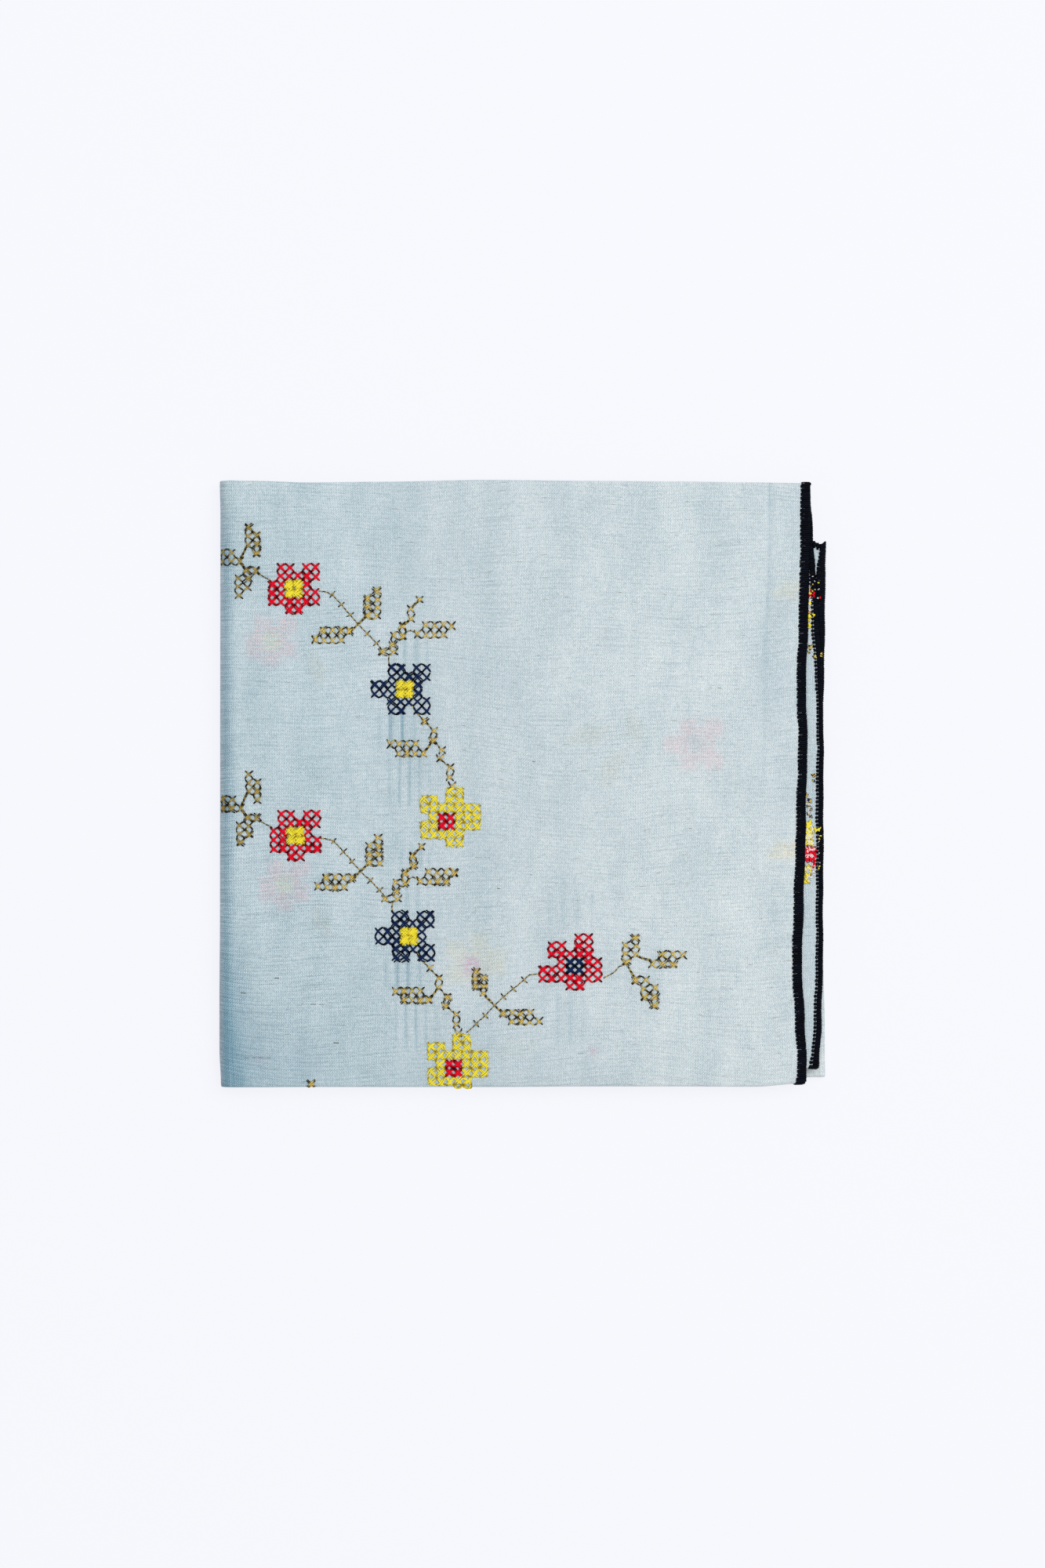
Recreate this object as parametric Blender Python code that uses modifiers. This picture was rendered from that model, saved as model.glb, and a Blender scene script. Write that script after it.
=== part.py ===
"""Square embroidered head scarf, folded into a flat packet.

The scarf is one piece of voile with an overlocked edge. It is folded up in quarters first and then
across in quarters, so that its top quarter shows four layers at the right-hand edge. The drawing
frame has +X to the right, +Y up the scarf as it lies, +Z up, and its origin under the middle.

The cloth is one sheet, and a layer of it stands for voile with the air that it holds:

  layer_1, layer_2, layer_3, layer_4   the top quarter, from the face down
  quarter_4, quarter_3, quarter_2      the quarters folded in below it, down to the resting face
"""
import math
from collections import namedtuple

import bmesh
import bpy

MM = 0.001

# Thickness of a layer, and the air between one layer and the next
SHEET = 1.0 * MM
GAP = 0.3 * MM
PITCH = SHEET + GAP

# The layers in their order, from the resting face up
LEVELS = ("quarter_2", "quarter_3", "quarter_4", "layer_4", "layer_3", "layer_2", "layer_1")

# The outline: the round fold at the left, and the nominal right-hand end of the top quarter
LEFT_FOLD_X = -94.6 * MM
NOMINAL_END_X = 88.0 * MM

# Overlocked edge: width of the thread band, and the rounding of its square edges
EDGING_WIDTH = 2.6 * MM
EDGING_ROUNDING = 0.3 * MM
ROUNDING_STEPS = 2
SQUARE_EDGE_FROM = math.radians(60)

# Free hems of the two inner layers, measured to the outside of the edging
HEM_LAYER_3_Y = 76.0 * MM
HEM_LAYER_4_Y = 60.0 * MM

# The far end of the scarf, hidden inside the packet, measured to the outside of its edging
FAR_END_X = 90.0 * MM

# Fold lines of the top quarter, a row for each place across the scarf: the top fold, the fold
# that turns layer 2 into layer 3, and the fold at the foot that turns layer 1 under to layer 4
FoldLine = namedtuple("FoldLine", "x top inner_foot foot")
FOLD_LINES = (
    FoldLine(x=-95, top=94.5, inner_foot=-92.6, foot=-94.7),
    FoldLine(x=-10, top=95.2, inner_foot=-92.6, foot=-94.8),
    FoldLine(x=50, top=94.7, inner_foot=-91.8, foot=-94.6),
    FoldLine(x=90, top=94.0, inner_foot=-88.8, foot=-93.5),
)

# The right-hand edges, a row for each height up the scarf: the outside of the edging on the four
# layers of the top quarter, and the plain fold that turns quarter 2 into quarter 3
EndEdge = namedtuple("EndEdge", "y layer_1 layer_2 layer_3 layer_4 plain_fold")
END_EDGES = (
    EndEdge(y=94, layer_1=89.8, layer_2=89.6, layer_3=94.7, layer_4=91.8, plain_fold=89.6),
    EndEdge(y=74, layer_1=89.5, layer_2=90.7, layer_3=94.7, layer_4=91.8, plain_fold=90.2),
    EndEdge(y=55, layer_1=89.1, layer_2=92.1, layer_3=94.4, layer_4=91.8, plain_fold=90.9),
    EndEdge(y=32, layer_1=88.4, layer_2=93.6, layer_3=94.0, layer_4=91.5, plain_fold=91.6),
    EndEdge(y=12, layer_1=88.9, layer_2=94.0, layer_3=93.8, layer_4=91.2, plain_fold=92.3),
    EndEdge(y=-12, layer_1=88.2, layer_2=94.0, layer_3=93.8, layer_4=90.9, plain_fold=93.0),
    EndEdge(y=-36, layer_1=87.5, layer_2=93.8, layer_3=93.6, layer_4=90.5, plain_fold=93.7),
    EndEdge(y=-55, layer_1=87.1, layer_2=93.7, layer_3=93.5, layer_4=90.0, plain_fold=94.1),
    EndEdge(y=-75, layer_1=88.1, layer_2=93.2, layer_3=93.0, layer_4=89.5, plain_fold=94.5),
    EndEdge(y=-94, layer_1=88.6, layer_2=92.3, layer_3=92.2, layer_4=88.8, plain_fold=94.8),
)

# Top and foot of the quarters below, at each fold that the scarf comes to and at its far end
Reach = namedtuple("Reach", "top foot")
REACH_AT_LEFT_FOLD = Reach(top=94.2 * MM, foot=-94.4 * MM)
REACH_AT_PLAIN_FOLD = Reach(top=93.2 * MM, foot=-91.4 * MM)
REACH_AT_INNER_FOLD = Reach(top=93.6 * MM, foot=-93.2 * MM)
REACH_AT_FAR_END = Reach(top=93.0 * MM, foot=-92.4 * MM)

# How finely the sheet is drawn: steps along a layer, across it, and round a half turn
STEPS_ALONG = 14
STEPS_ACROSS = 8
STEPS_TIGHT_TURN = 8
STEPS_WIDE_TURN = 14

VOILE = ("voile", (0.58, 0.67, 0.71, 1.0), 0.85)
NAVY_THREAD = ("navy_thread", (0.008, 0.010, 0.018, 1.0), 0.6)


def level(name):
    """Height of the middle of a layer."""
    return SHEET / 2 + LEVELS.index(name) * PITCH


def blend(start, end, share):
    return start + (end - start) * share


def eased(share):
    return share * share * (3 - 2 * share)


def read_table(table, key, column, at):
    """A smooth value of one column of a table in millimetres, between its rows."""
    rows = sorted(table, key=lambda row: getattr(row, key))
    at = at / MM
    if at <= getattr(rows[0], key):
        return getattr(rows[0], column) * MM
    for low, high in zip(rows, rows[1:]):
        if at <= getattr(high, key):
            share = (at - getattr(low, key)) / (getattr(high, key) - getattr(low, key))
            return blend(getattr(low, column), getattr(high, column), eased(share)) * MM
    return getattr(rows[-1], column) * MM


def fold_line(name, x):
    return read_table(FOLD_LINES, "x", name, x)


def end_edge(name, y):
    return read_table(END_EDGES, "y", name, y)


# Middle radii of the half turns, and the line where the round fold at the left begins
TIGHT_RADIUS = PITCH / 2
FOOT_RADIUS = (level("layer_1") - level("layer_4")) / 2
LEFT_RADIUS = (level("layer_1") - level("quarter_2")) / 2
LEFT_TURN_X = LEFT_FOLD_X + SHEET / 2 + LEFT_RADIUS
LEFT_TURN_Z = (level("layer_1") + level("quarter_2")) / 2


def left_end_x(layer):
    """Where a layer ends at the left: the inner ones reach into the hollow of the round fold."""
    clear_radius = LEFT_RADIUS - SHEET / 2 - GAP
    off_centre = abs(level(layer) - LEFT_TURN_Z) + SHEET / 2
    return LEFT_TURN_X - math.sqrt(max(clear_radius ** 2 - off_centre ** 2, 0))


def top_turn_y(x):
    return fold_line("top", x) - SHEET / 2 - TIGHT_RADIUS


def inner_foot_turn_y(x):
    return fold_line("inner_foot", x) + SHEET / 2 + TIGHT_RADIUS


def foot_turn_y(x):
    return fold_line("foot", x) + SHEET / 2 + FOOT_RADIUS


def run(layer, start_y, end_y, steps):
    """Rows along one flat layer. start_y and end_y give a height for a place x.

    A row gives the height y, the level z, and the left and right end there.
    """
    def row_at(share):
        def row(x):
            y = blend(start_y(x), end_y(x), share)
            return y, level(layer), left_end_x(layer), end_edge(layer, y)
        return row
    return [row_at(step / steps) for step in range(steps + 1)]


def turn(from_layer, to_layer, centre_y, side, steps):
    """Rows round a half turn between two layers, without its first and last row."""
    radius = abs(level(to_layer) - level(from_layer)) / 2
    upward = math.copysign(1, level(to_layer) - level(from_layer))

    def row_at(share):
        angle = math.pi * share

        def row(x):
            y = centre_y(x) + side * radius * math.sin(angle)
            z = level(from_layer) + upward * radius * (1 - math.cos(angle))
            left = min(blend(left_end_x(from_layer), LEFT_TURN_X, 1 - (1 - share) ** 2),
                       blend(LEFT_TURN_X, left_end_x(to_layer), share ** 2))
            edge = blend(end_edge(from_layer, y), end_edge(to_layer, y), eased(share))
            return y, z, left, edge
        return row
    return [row_at(step / steps) for step in range(1, steps)]


def strip_rows(hem_inset):
    """Rows of the top quarter in the order of the cloth, from hem to hem.

    Gives the rows, and the numbers of the first and last row of layer 1.
    """
    rows = run("layer_3", lambda x: HEM_LAYER_3_Y - hem_inset, inner_foot_turn_y, STEPS_ALONG)
    rows += turn("layer_3", "layer_2", inner_foot_turn_y, -1, STEPS_TIGHT_TURN)
    rows += run("layer_2", inner_foot_turn_y, top_turn_y, STEPS_ALONG)
    rows += turn("layer_2", "layer_1", top_turn_y, 1, STEPS_TIGHT_TURN)
    first = len(rows)
    rows += run("layer_1", top_turn_y, foot_turn_y, STEPS_ALONG)
    last = len(rows) - 1
    rows += turn("layer_1", "layer_4", foot_turn_y, -1, STEPS_WIDE_TURN)
    rows += run("layer_4", foot_turn_y, lambda x: HEM_LAYER_4_Y - hem_inset, STEPS_ALONG)
    return rows, first, last


def strip_point(row, across, edge_inset):
    """A point of the top quarter, across = 0 at the left fold and 1 at the right-hand edge."""
    nominal_x = blend(LEFT_TURN_X, NOMINAL_END_X, across)
    y, z, left, edge = row(nominal_x)
    return blend(left, edge - edge_inset, across), y, z


def strip_columns(rows, edge_inset):
    """Columns of points over the top quarter, from the right-hand edge to the left fold."""
    columns = []
    for step in range(STEPS_ACROSS, -1, -1):
        columns.append([strip_point(row, step / STEPS_ACROSS, edge_inset) for row in rows])
    return columns


def plain_fold_turn_x(y):
    return end_edge("plain_fold", y) - SHEET / 2 - TIGHT_RADIUS


def left_turn_x(_):
    return LEFT_TURN_X


def far_end_x(_):
    return FAR_END_X - EDGING_WIDTH - GAP


def lower_quarters(strip_reach, points):
    """Columns of points past the left fold: under, back, under again and out to the far end.

    strip_reach is where the top quarter starts and ends at the left fold, and points is the
    number of points in a column.
    """
    columns = []

    def add_column(from_reach, to_reach, share, x_at, z):
        top = blend(from_reach.top, to_reach.top, share)
        foot = blend(from_reach.foot, to_reach.foot, share)
        ys = [blend(top, foot, point / (points - 1)) for point in range(points)]
        columns.append([(x_at(y), y, z) for y in ys])

    def add_turn(layers, centre_x, side, reaches, steps):
        start_z, end_z = (level(layer) for layer in layers)
        rise = (end_z - start_z) / 2
        for step in range(1, steps + 1):
            angle = math.pi * step / steps
            out = side * abs(rise) * math.sin(angle)
            share = math.sin(min(angle, math.pi / 2))
            add_column(*reaches, share, lambda y: centre_x(y) + out,
                       start_z + rise * (1 - math.cos(angle)))

    def add_run(layer, start_x, end_x, reaches):
        for step in range(1, STEPS_ACROSS + 1):
            share = step / STEPS_ACROSS
            add_column(*reaches, share, lambda y: blend(start_x(y), end_x(y), share), level(layer))

    add_turn(("layer_1", "quarter_2"), left_turn_x, -1, (strip_reach, REACH_AT_LEFT_FOLD),
             STEPS_WIDE_TURN)
    add_run("quarter_2", left_turn_x, plain_fold_turn_x, (REACH_AT_LEFT_FOLD, REACH_AT_PLAIN_FOLD))
    add_turn(("quarter_2", "quarter_3"), plain_fold_turn_x, 1,
             (REACH_AT_PLAIN_FOLD, REACH_AT_PLAIN_FOLD), STEPS_TIGHT_TURN)
    add_run("quarter_3", plain_fold_turn_x, left_turn_x, (REACH_AT_PLAIN_FOLD, REACH_AT_INNER_FOLD))
    add_turn(("quarter_3", "quarter_4"), left_turn_x, -1,
             (REACH_AT_INNER_FOLD, REACH_AT_INNER_FOLD), STEPS_TIGHT_TURN)
    add_run("quarter_4", left_turn_x, far_end_x, (REACH_AT_INNER_FOLD, REACH_AT_FAR_END))
    return columns


def add_material(name, colour, roughness):
    material = bpy.data.materials.new(name)
    material.use_nodes = True
    shader = material.node_tree.nodes["Principled BSDF"]
    shader.inputs["Base Color"].default_value = colour
    shader.inputs["Roughness"].default_value = roughness
    return material


def add_sheet(name, columns, keeps, collection, finish):
    """A solid sheet on a grid of points, given as columns.

    keeps(column, row) says which cells of the grid are cloth. A point of no such cell is None.
    """
    grid = bmesh.new()
    verts = {}

    def vert(column, row):
        if (column, row) not in verts:
            verts[column, row] = grid.verts.new(columns[column][row])
        return verts[column, row]

    for column in range(len(columns) - 1):
        for row in range(len(columns[0]) - 1):
            if keeps(column, row):
                grid.faces.new((vert(column, row), vert(column, row + 1),
                                vert(column + 1, row + 1), vert(column + 1, row)))
    bmesh.ops.recalc_face_normals(grid, faces=grid.faces)
    mesh = bpy.data.meshes.new(name)
    grid.to_mesh(mesh)
    grid.free()
    mesh.materials.append(add_material(*finish))
    piece = bpy.data.objects.new(name, mesh)
    collection.objects.link(piece)
    thickness = piece.modifiers.new("thickness", "SOLIDIFY")
    thickness.thickness = SHEET
    thickness.offset = 0
    thickness.use_even_offset = True
    return piece


def build_cloth(collection):
    """The scarf's one piece of voile, folded."""
    inset = EDGING_WIDTH + GAP
    rows, first, last = strip_rows(inset)
    columns = strip_columns(rows, inset)
    strip_reach = Reach(top=columns[-1][first][1], foot=columns[-1][last][1])
    for column in lower_quarters(strip_reach, last + 1 - first):
        columns.append([None] * first + column + [None] * (len(rows) - last - 1))

    def keeps(column, row):
        return column < STEPS_ACROSS or first <= row < last

    add_sheet("cloth", columns, keeps, collection, VOILE)


def round_band(piece):
    """Round the square edges of a thread band."""
    rounding = piece.modifiers.new("rounding", "BEVEL")
    rounding.width = EDGING_ROUNDING
    rounding.segments = ROUNDING_STEPS
    rounding.limit_method = "ANGLE"
    rounding.angle_limit = SQUARE_EDGE_FROM


def build_near_edging(collection):
    """The overlocked edge along the near end and the two hems of the top quarter."""
    rows, _, _ = strip_rows(EDGING_WIDTH)
    first_hem = run("layer_3", lambda x: HEM_LAYER_3_Y, lambda x: HEM_LAYER_3_Y, 1)[:1]
    last_hem = run("layer_4", lambda x: HEM_LAYER_4_Y, lambda x: HEM_LAYER_4_Y, 1)[:1]
    rows = first_hem + rows + last_hem
    columns = [[strip_point(row, 1, 0) for row in rows]] + strip_columns(rows, EDGING_WIDTH)
    last_cell = len(rows) - 2

    def keeps(column, row):
        return column == 0 or row in (0, last_cell)

    round_band(add_sheet("edging_near_end", columns, keeps, collection, NAVY_THREAD))


def build_far_edging(collection):
    """The overlocked edge along the far end, inside the packet."""
    z = level("quarter_4")
    columns = []
    for x in (FAR_END_X, FAR_END_X - EDGING_WIDTH):
        columns.append([(x, y, z) for y in REACH_AT_FAR_END])
    band = add_sheet("edging_far_end", columns, lambda column, row: True, collection, NAVY_THREAD)
    round_band(band)


def main():
    for old in list(bpy.data.objects):
        bpy.data.objects.remove(old, do_unlink=True)
    collection = bpy.data.collections.new("folded_head_scarf")
    bpy.context.scene.collection.children.link(collection)
    build_cloth(collection)
    build_near_edging(collection)
    build_far_edging(collection)


main()
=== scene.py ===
"""Looks of the folded head scarf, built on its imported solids.

The scarf is one thin sheet of voile. It is folded up in quarters and then across in quarters, so a
plumb line through the packet meets sixteen layers. The sheet here is drawn whole, with every layer and
every fold, and the thread of the overlocked edge and of the cross-stitch lies on it.

Lengths in the tables and in the functions are millimetres, in the frame of the solids: x to the free
edges, y up the scarf as it lies, z up from the surface that it rests on.
"""
import math
from collections import namedtuple

import bpy
import numpy as np
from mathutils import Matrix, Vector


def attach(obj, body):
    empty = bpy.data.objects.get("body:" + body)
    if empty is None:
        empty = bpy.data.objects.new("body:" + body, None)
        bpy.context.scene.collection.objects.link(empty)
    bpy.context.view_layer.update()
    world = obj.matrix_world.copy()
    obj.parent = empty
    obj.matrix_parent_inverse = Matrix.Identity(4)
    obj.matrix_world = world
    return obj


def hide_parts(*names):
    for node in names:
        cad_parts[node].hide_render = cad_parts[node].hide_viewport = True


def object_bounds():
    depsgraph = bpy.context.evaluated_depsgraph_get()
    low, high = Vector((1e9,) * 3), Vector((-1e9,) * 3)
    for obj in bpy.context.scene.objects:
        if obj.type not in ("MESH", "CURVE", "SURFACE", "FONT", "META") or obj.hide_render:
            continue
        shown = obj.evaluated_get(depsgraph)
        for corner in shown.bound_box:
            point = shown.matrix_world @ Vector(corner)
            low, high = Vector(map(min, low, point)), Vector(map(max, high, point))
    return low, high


MM = 0.001

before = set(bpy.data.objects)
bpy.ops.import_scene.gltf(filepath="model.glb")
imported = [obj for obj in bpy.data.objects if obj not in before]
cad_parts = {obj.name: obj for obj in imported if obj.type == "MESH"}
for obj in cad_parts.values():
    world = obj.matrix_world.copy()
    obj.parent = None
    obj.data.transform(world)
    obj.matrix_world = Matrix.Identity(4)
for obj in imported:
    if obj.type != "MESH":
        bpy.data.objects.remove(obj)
cad_low, cad_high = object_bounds()


def table(columns, *rows, defaults=()):
    """Rows of values with named columns."""
    row_type = namedtuple("Row", columns, defaults=defaults)
    return tuple(row_type(*row) for row in rows)


# The packet: sixteen layers, numbered from the resting face up
LEVELS = 16
PACKET_HEIGHT = (cad_high.z - cad_low.z) / MM
PITCH = PACKET_HEIGHT / LEVELS
LEFT_FOLD_X = cad_low.x / MM

# Levels of layers 3, 2, 1 and 4 in the four-layer strip, of the strip in each quarter, and the middles
# of the turns between the quarters
STRIP_LEVELS = (1, 2, 3, 0)
QUARTER_1_BASE = 12
QUARTER_2_TOP = 3
QUARTER_3_BASE = 4
QUARTER_4_TOP = 11
ROUND_FOLD_LEVEL = 7.5
PLAIN_FOLD_LEVEL = 3.5
SNUG_FOLD = 0.35

# Pieces of the sheet across the packet, in the order in which the cloth runs
FAR_QUARTER, INNER_FOLD, THIRD_QUARTER, PLAIN_FOLD, LOWER_QUARTER, ROUND_FOLD, TOP_QUARTER = range(7)

# Pieces of the sheet up the packet, from the hem of layer 3 to the hem of layer 4
LAYER_3, INNER_FOOT, LAYER_2, TOP_FOLD, LAYER_1, FOOT_FOLD, LAYER_4 = range(7)

# How finely the sheet is drawn, piece by piece in those two orders
ACROSS_STEPS = (16, 8, 16, 10, 24, 20, 230)
UP_STEPS = (30, 6, 48, 6, 158, 10, 28)

# Distance along the flat cloth at the start of each piece, so that the weave runs on over the folds
QUARTER_LENGTH = 181.0
ROUND_FOLD_LENGTH = 12.0
SMALL_FOLD_LENGTH = 4.0
LAYER_LENGTH = 187.0
ACROSS_STARTS = np.cumsum([0, QUARTER_LENGTH, SMALL_FOLD_LENGTH, QUARTER_LENGTH, SMALL_FOLD_LENGTH,
                           QUARTER_LENGTH, ROUND_FOLD_LENGTH, QUARTER_LENGTH])
UP_STARTS = np.cumsum([0, 169.0, 1.5, LAYER_LENGTH, 1.5, LAYER_LENGTH, 3.5, 152.0])

# How far each fold line reaches past the flat part of its layers
TOP_REACH = 0.55
INNER_FOOT_REACH = 0.5
FOOT_REACH = 1.25

# The outline at the round fold, up the scarf
LEFT_LINE = table(
    "y x", (-94, 0), (-83, -0.42), (-70, -0.42), (-40, -0.25), (10, -0.2), (60, -0.15), (84, -0.12),
    (94, -0.3),
)

# Fold lines of the top quarter, a row for each place across the scarf
FOLD_LINES = table(
    "x top inner_foot foot", (-95, 95, -92.6, -94.9), (-84, 94.8, -92.6, -94.9), (-66, 94.3, -92.6, -94.8),
    (-44, 94.5, -92.6, -94.8), (-10, 95.1, -92.6, -94.8), (22, 94.8, -92.2, -94.6), (50, 94.6, -91.8, -94.6),
    (74, 94.3, -90.4, -94.7), (90, 94.1, -88.9, -93.7),
)

# The same in the quarters below, where each piece across the packet begins
LOWER_FOLD_LINES = table(
    "top foot", (93, -91.6), (93.6, -93.2), (93.6, -93.2), (93.2, -92), (93.2, -92), (94.6, -94.9),
    (95, -94.9),
)
INNER_FOOT_ABOVE_FOOT = 2.1
FAR_END_X = 88.0
FAR_END_STEP = 0.35

# Outside of the overlock on the four layers of the top quarter, and the plain fold below them
END_EDGES = table(
    "y layer_1 layer_2 layer_3 layer_4 plain_fold", (94, 90.2, 90.1, 94.9, 89.2, 89.6),
    (76, 90, 91, 95, 89.4, 90.2), (68, 89.9, 91.6, 94.9, 89.4, 90.4), (57, 89.6, 92.8, 94.8, 90.4, 90.9),
    (32, 88.8, 93.9, 94.4, 91.5, 91.6), (12, 89.2, 94.3, 94.1, 91.2, 92.6), (-12, 88.7, 94.3, 94, 90.9, 93.4),
    (-36, 88.1, 94.2, 93.8, 90.5, 94.2), (-55, 87.4, 94.1, 93.7, 89.5, 94.6), (-75, 88.4, 93.7, 93.2, 88, 95),
    (-87, 88.9, 92.9, 92.5, 87.6, 95.1), (-94, 89, 92.6, 92.1, 87.4, 95.2),
)
THREAD_BEYOND_CLOTH = 0.35

# Free hems of layers 3 and 4 across the scarf. The corner of layer 3 is drawn out to a point.
HEMS = table(
    "x layer_3 layer_4", (-95, 76.4, 60.6), (-40, 75.8, 59.6), (20, 76.3, 60.4), (70, 75.9, 60),
    (88.5, 76.8, 60.2), (92.5, 75.3, 59.8), (94.5, 76.6, 60),
)

# Puckers that the tight stitches pull into the top layer: a group of short upright ridges each
PUCKERS = table(
    "x top foot width pitch depth", (-39.4, 22.6, 12.6, 4.6, 3.7, 0.2), (-37, 9, -6, 6, 3.2, 0.11),
    (-33.5, -21, -25.5, 5, 3, 0.12), (-34.5, -31.5, -40, 6, 3.3, 0.07), (-37.5, -55, -63.5, 5.5, 3.5, 0.16),
    (-35, -68.5, -82, 6, 3.2, 0.1), (-35, 46, 38, 6, 3.4, 0.09), (-84, 92, 82, 6, 4.2, 0.02),
    (-72, 88, 70, 7, 3.8, 0.02), (13, -66, -80, 8, 4, 0.05), (15, -34, -45, 9, 4.4, 0.05),
)

# Faint rings that an embroidery hoop leaves, as parts of circles
RINGS = table(
    "x y radius height opens_to", (-15.5, -33.5, 13, 0.07, 0), (76, -35.5, 7.5, 0.06, 0.4),
    (48.5, 26, 9, 0.04, 2.4), (22, 59, 10, 0.04, 1.2),
)
CREASE_X = 76.4
CREASE_LEAN = 0.9
CREASE_DEPTH = 0.26


def eased(start, end, at):
    """0 before start, 1 after end, eased between them."""
    share = np.clip((at - start) / (end - start), 0, 1)
    return share * share * (3 - 2 * share)


def hill(at, middle, width):
    """A bell, 1 at its middle."""
    return np.exp(-((at - middle) / width) ** 2)


def blend(start, end, share):
    return start + (end - start) * share


def unit(vectors):
    return vectors / np.maximum(np.linalg.norm(vectors, axis=-1, keepdims=True), 1e-9)


def read_table(rows, column, at):
    """A smooth value of one column of a table. The first column is the place that a row stands for."""
    rows = sorted(rows)
    keys = np.array([row[0] for row in rows], float)
    values = np.array([getattr(row, column) for row in rows], float)
    at = np.clip(at, keys[0], keys[-1])
    low = np.clip(np.searchsorted(keys, at, side="right") - 1, 0, len(keys) - 2)
    return blend(values[low], values[low + 1], eased(keys[low], keys[low + 1], at))


def by_piece(part, values, other=0):
    """At each place, the value of the piece of the sheet that it is on."""
    return np.select([part == piece for piece in range(len(values))], values, other)


def packet_height(x, y):
    """Height of the whole packet: a little crowned, lower at its free edges and its lower left."""
    rolling = 0.10 * np.sin(x / 23 + y / 41 + 0.6) + 0.08 * np.sin(y / 17 - x / 36 + 2.0)
    free_edges = 0.55 * eased(62, 96, x)
    ends = 0.25 * eased(78, 96, np.abs(y))
    corner = 0.5 * eased(-30, -90, x) * eased(-50, -96, y)
    return PACKET_HEIGHT - 0.1 + rolling - free_edges - ends - corner


def crease_at(y):
    """x of the upright crease near the free edges."""
    return CREASE_X + CREASE_LEAN * np.tanh((y - 55) / 12)


def puckers_at(x, y):
    """For each group of puckers, its depth at a place, and whether that is on a ridge, 1, or between, -1."""
    for pucker in PUCKERS:
        from_foot = eased(pucker.foot - 3, pucker.foot + 2, y)
        to_top = eased(pucker.top + 2, pucker.top - 1, y)
        depth = pucker.depth * (from_foot * to_top) * hill(x, pucker.x, pucker.width)
        yield depth, np.cos(2 * math.pi * (x - pucker.x) / pucker.pitch)


def top_relief(x, y):
    """Small creases and puckers of the top layer alone."""
    crease_x = crease_at(y)
    relief = -CREASE_DEPTH * hill(x, crease_x, 0.9) * eased(15, 40, y)
    relief += 0.07 * hill(x, crease_x + 2.6, 1.2) * eased(15, 40, y)
    relief += 0.06 * hill(x, crease_x - 3.4, 1.5) * eased(40, 60, y)
    for depth, ridge in puckers_at(x, y):
        relief += depth * ridge
    for ring in RINGS:
        distance = np.hypot(x - ring.x, y - ring.y)
        facing = np.cos(np.arctan2(y - ring.y, x - ring.x) - ring.opens_to)
        relief += ring.height * hill(distance, ring.radius, 0.9) * eased(0.2, 0.7, facing)
    return relief


def relief_shade(x, y):
    """Soft shade in the valleys of the puckers and along the crease."""
    valleys = sum(depth * np.clip(-ridge, 0, 1) ** 2 for depth, ridge in puckers_at(x, y))
    crease = hill(x, crease_at(y) + 0.1, 0.42) * 0.15 + hill(x, crease_at(y) + 1.0, 0.9) * 0.03
    return 2 * valleys + crease * (0.50 + 0.50 * eased(40, 78, y)) * eased(-2, 16, y)


def weave_drift(x, y):
    """How far the weft is drawn up or down from its straight line, by the stitching and the fold."""
    waves = 1.6 * np.sin(x / 24 + 0.5) * np.cos(y / 37 - 0.4) + 0.8 * np.sin(x / 11 + y / 19)
    from_fold = np.clip(x - LEFT_FOLD_X, 0, 60)
    return waves + 0.16 * from_fold * np.exp(-from_fold / 16) * eased(40, -90, y)


def level_height(level, x, y):
    """Height of a layer, or of a place between two layers."""
    top_layer = eased(14.4, 15.0, level)
    return (level + 0.5) / LEVELS * packet_height(x, y) + top_layer * top_relief(x, y)


def reach_past_turn(radius, widest):
    """How far a layer's fold reaches past its turn: a little less than that of the layer outside it."""
    return (widest - SNUG_FOLD * (widest - radius)) * PITCH


def round_turn_x(y):
    """Where the flat part of the top quarter ends and the round fold begins."""
    return LEFT_FOLD_X + ROUND_FOLD_LEVEL * PITCH + read_table(LEFT_LINE, "x", y)


def fold_lines_at(part, share, x):
    """Top, inner foot and foot of the strip at a place across the sheet."""
    pairs = list(zip(LOWER_FOLD_LINES, LOWER_FOLD_LINES[1:]))
    top, foot = [
        by_piece(part, [blend(getattr(start, line), getattr(end, line), share) for start, end in pairs],
                 read_table(FOLD_LINES, line, x))
        for line in ("top", "foot")
    ]
    in_top_quarter = read_table(FOLD_LINES, "inner_foot", x)
    return top, np.where(part == TOP_QUARTER, in_top_quarter, foot + INNER_FOOT_ABOVE_FOOT), foot


def folded_run(part, share, stops, levels, reaches):
    """Place and level along a strip that runs flat from stop to stop and turns back round those between.

    A reach is how far past its stop a turn goes.
    """
    bulge, turn = np.sin(share * math.pi), np.cos(share * math.pi)
    places, heights = [blend(stops[0], stops[1], share)], [levels[0]]
    for stop, next_stop, before, after, reach in zip(stops[1:], stops[2:], levels, levels[1:], reaches):
        places += [stop + reach * bulge, blend(stop, next_stop, share)]
        heights += [(before + after) / 2 + (before - after) / 2 * turn, after]
    return by_piece(part, places), by_piece(part, heights)


def place_up(part, share, lines, x):
    """y of a place up the sheet, and its height in the four-layer strip, 0 to 3."""
    top, inner_foot, foot = lines
    hem_3, hem_4 = [read_table(HEMS, layer, x) - THREAD_BEYOND_CLOTH for layer in ("layer_3", "layer_4")]
    stops = (hem_3, inner_foot + INNER_FOOT_REACH, top - TOP_REACH, foot + FOOT_REACH, hem_4)
    return folded_run(part, share, stops, STRIP_LEVELS, (-INNER_FOOT_REACH, TOP_REACH, -FOOT_REACH))


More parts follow.
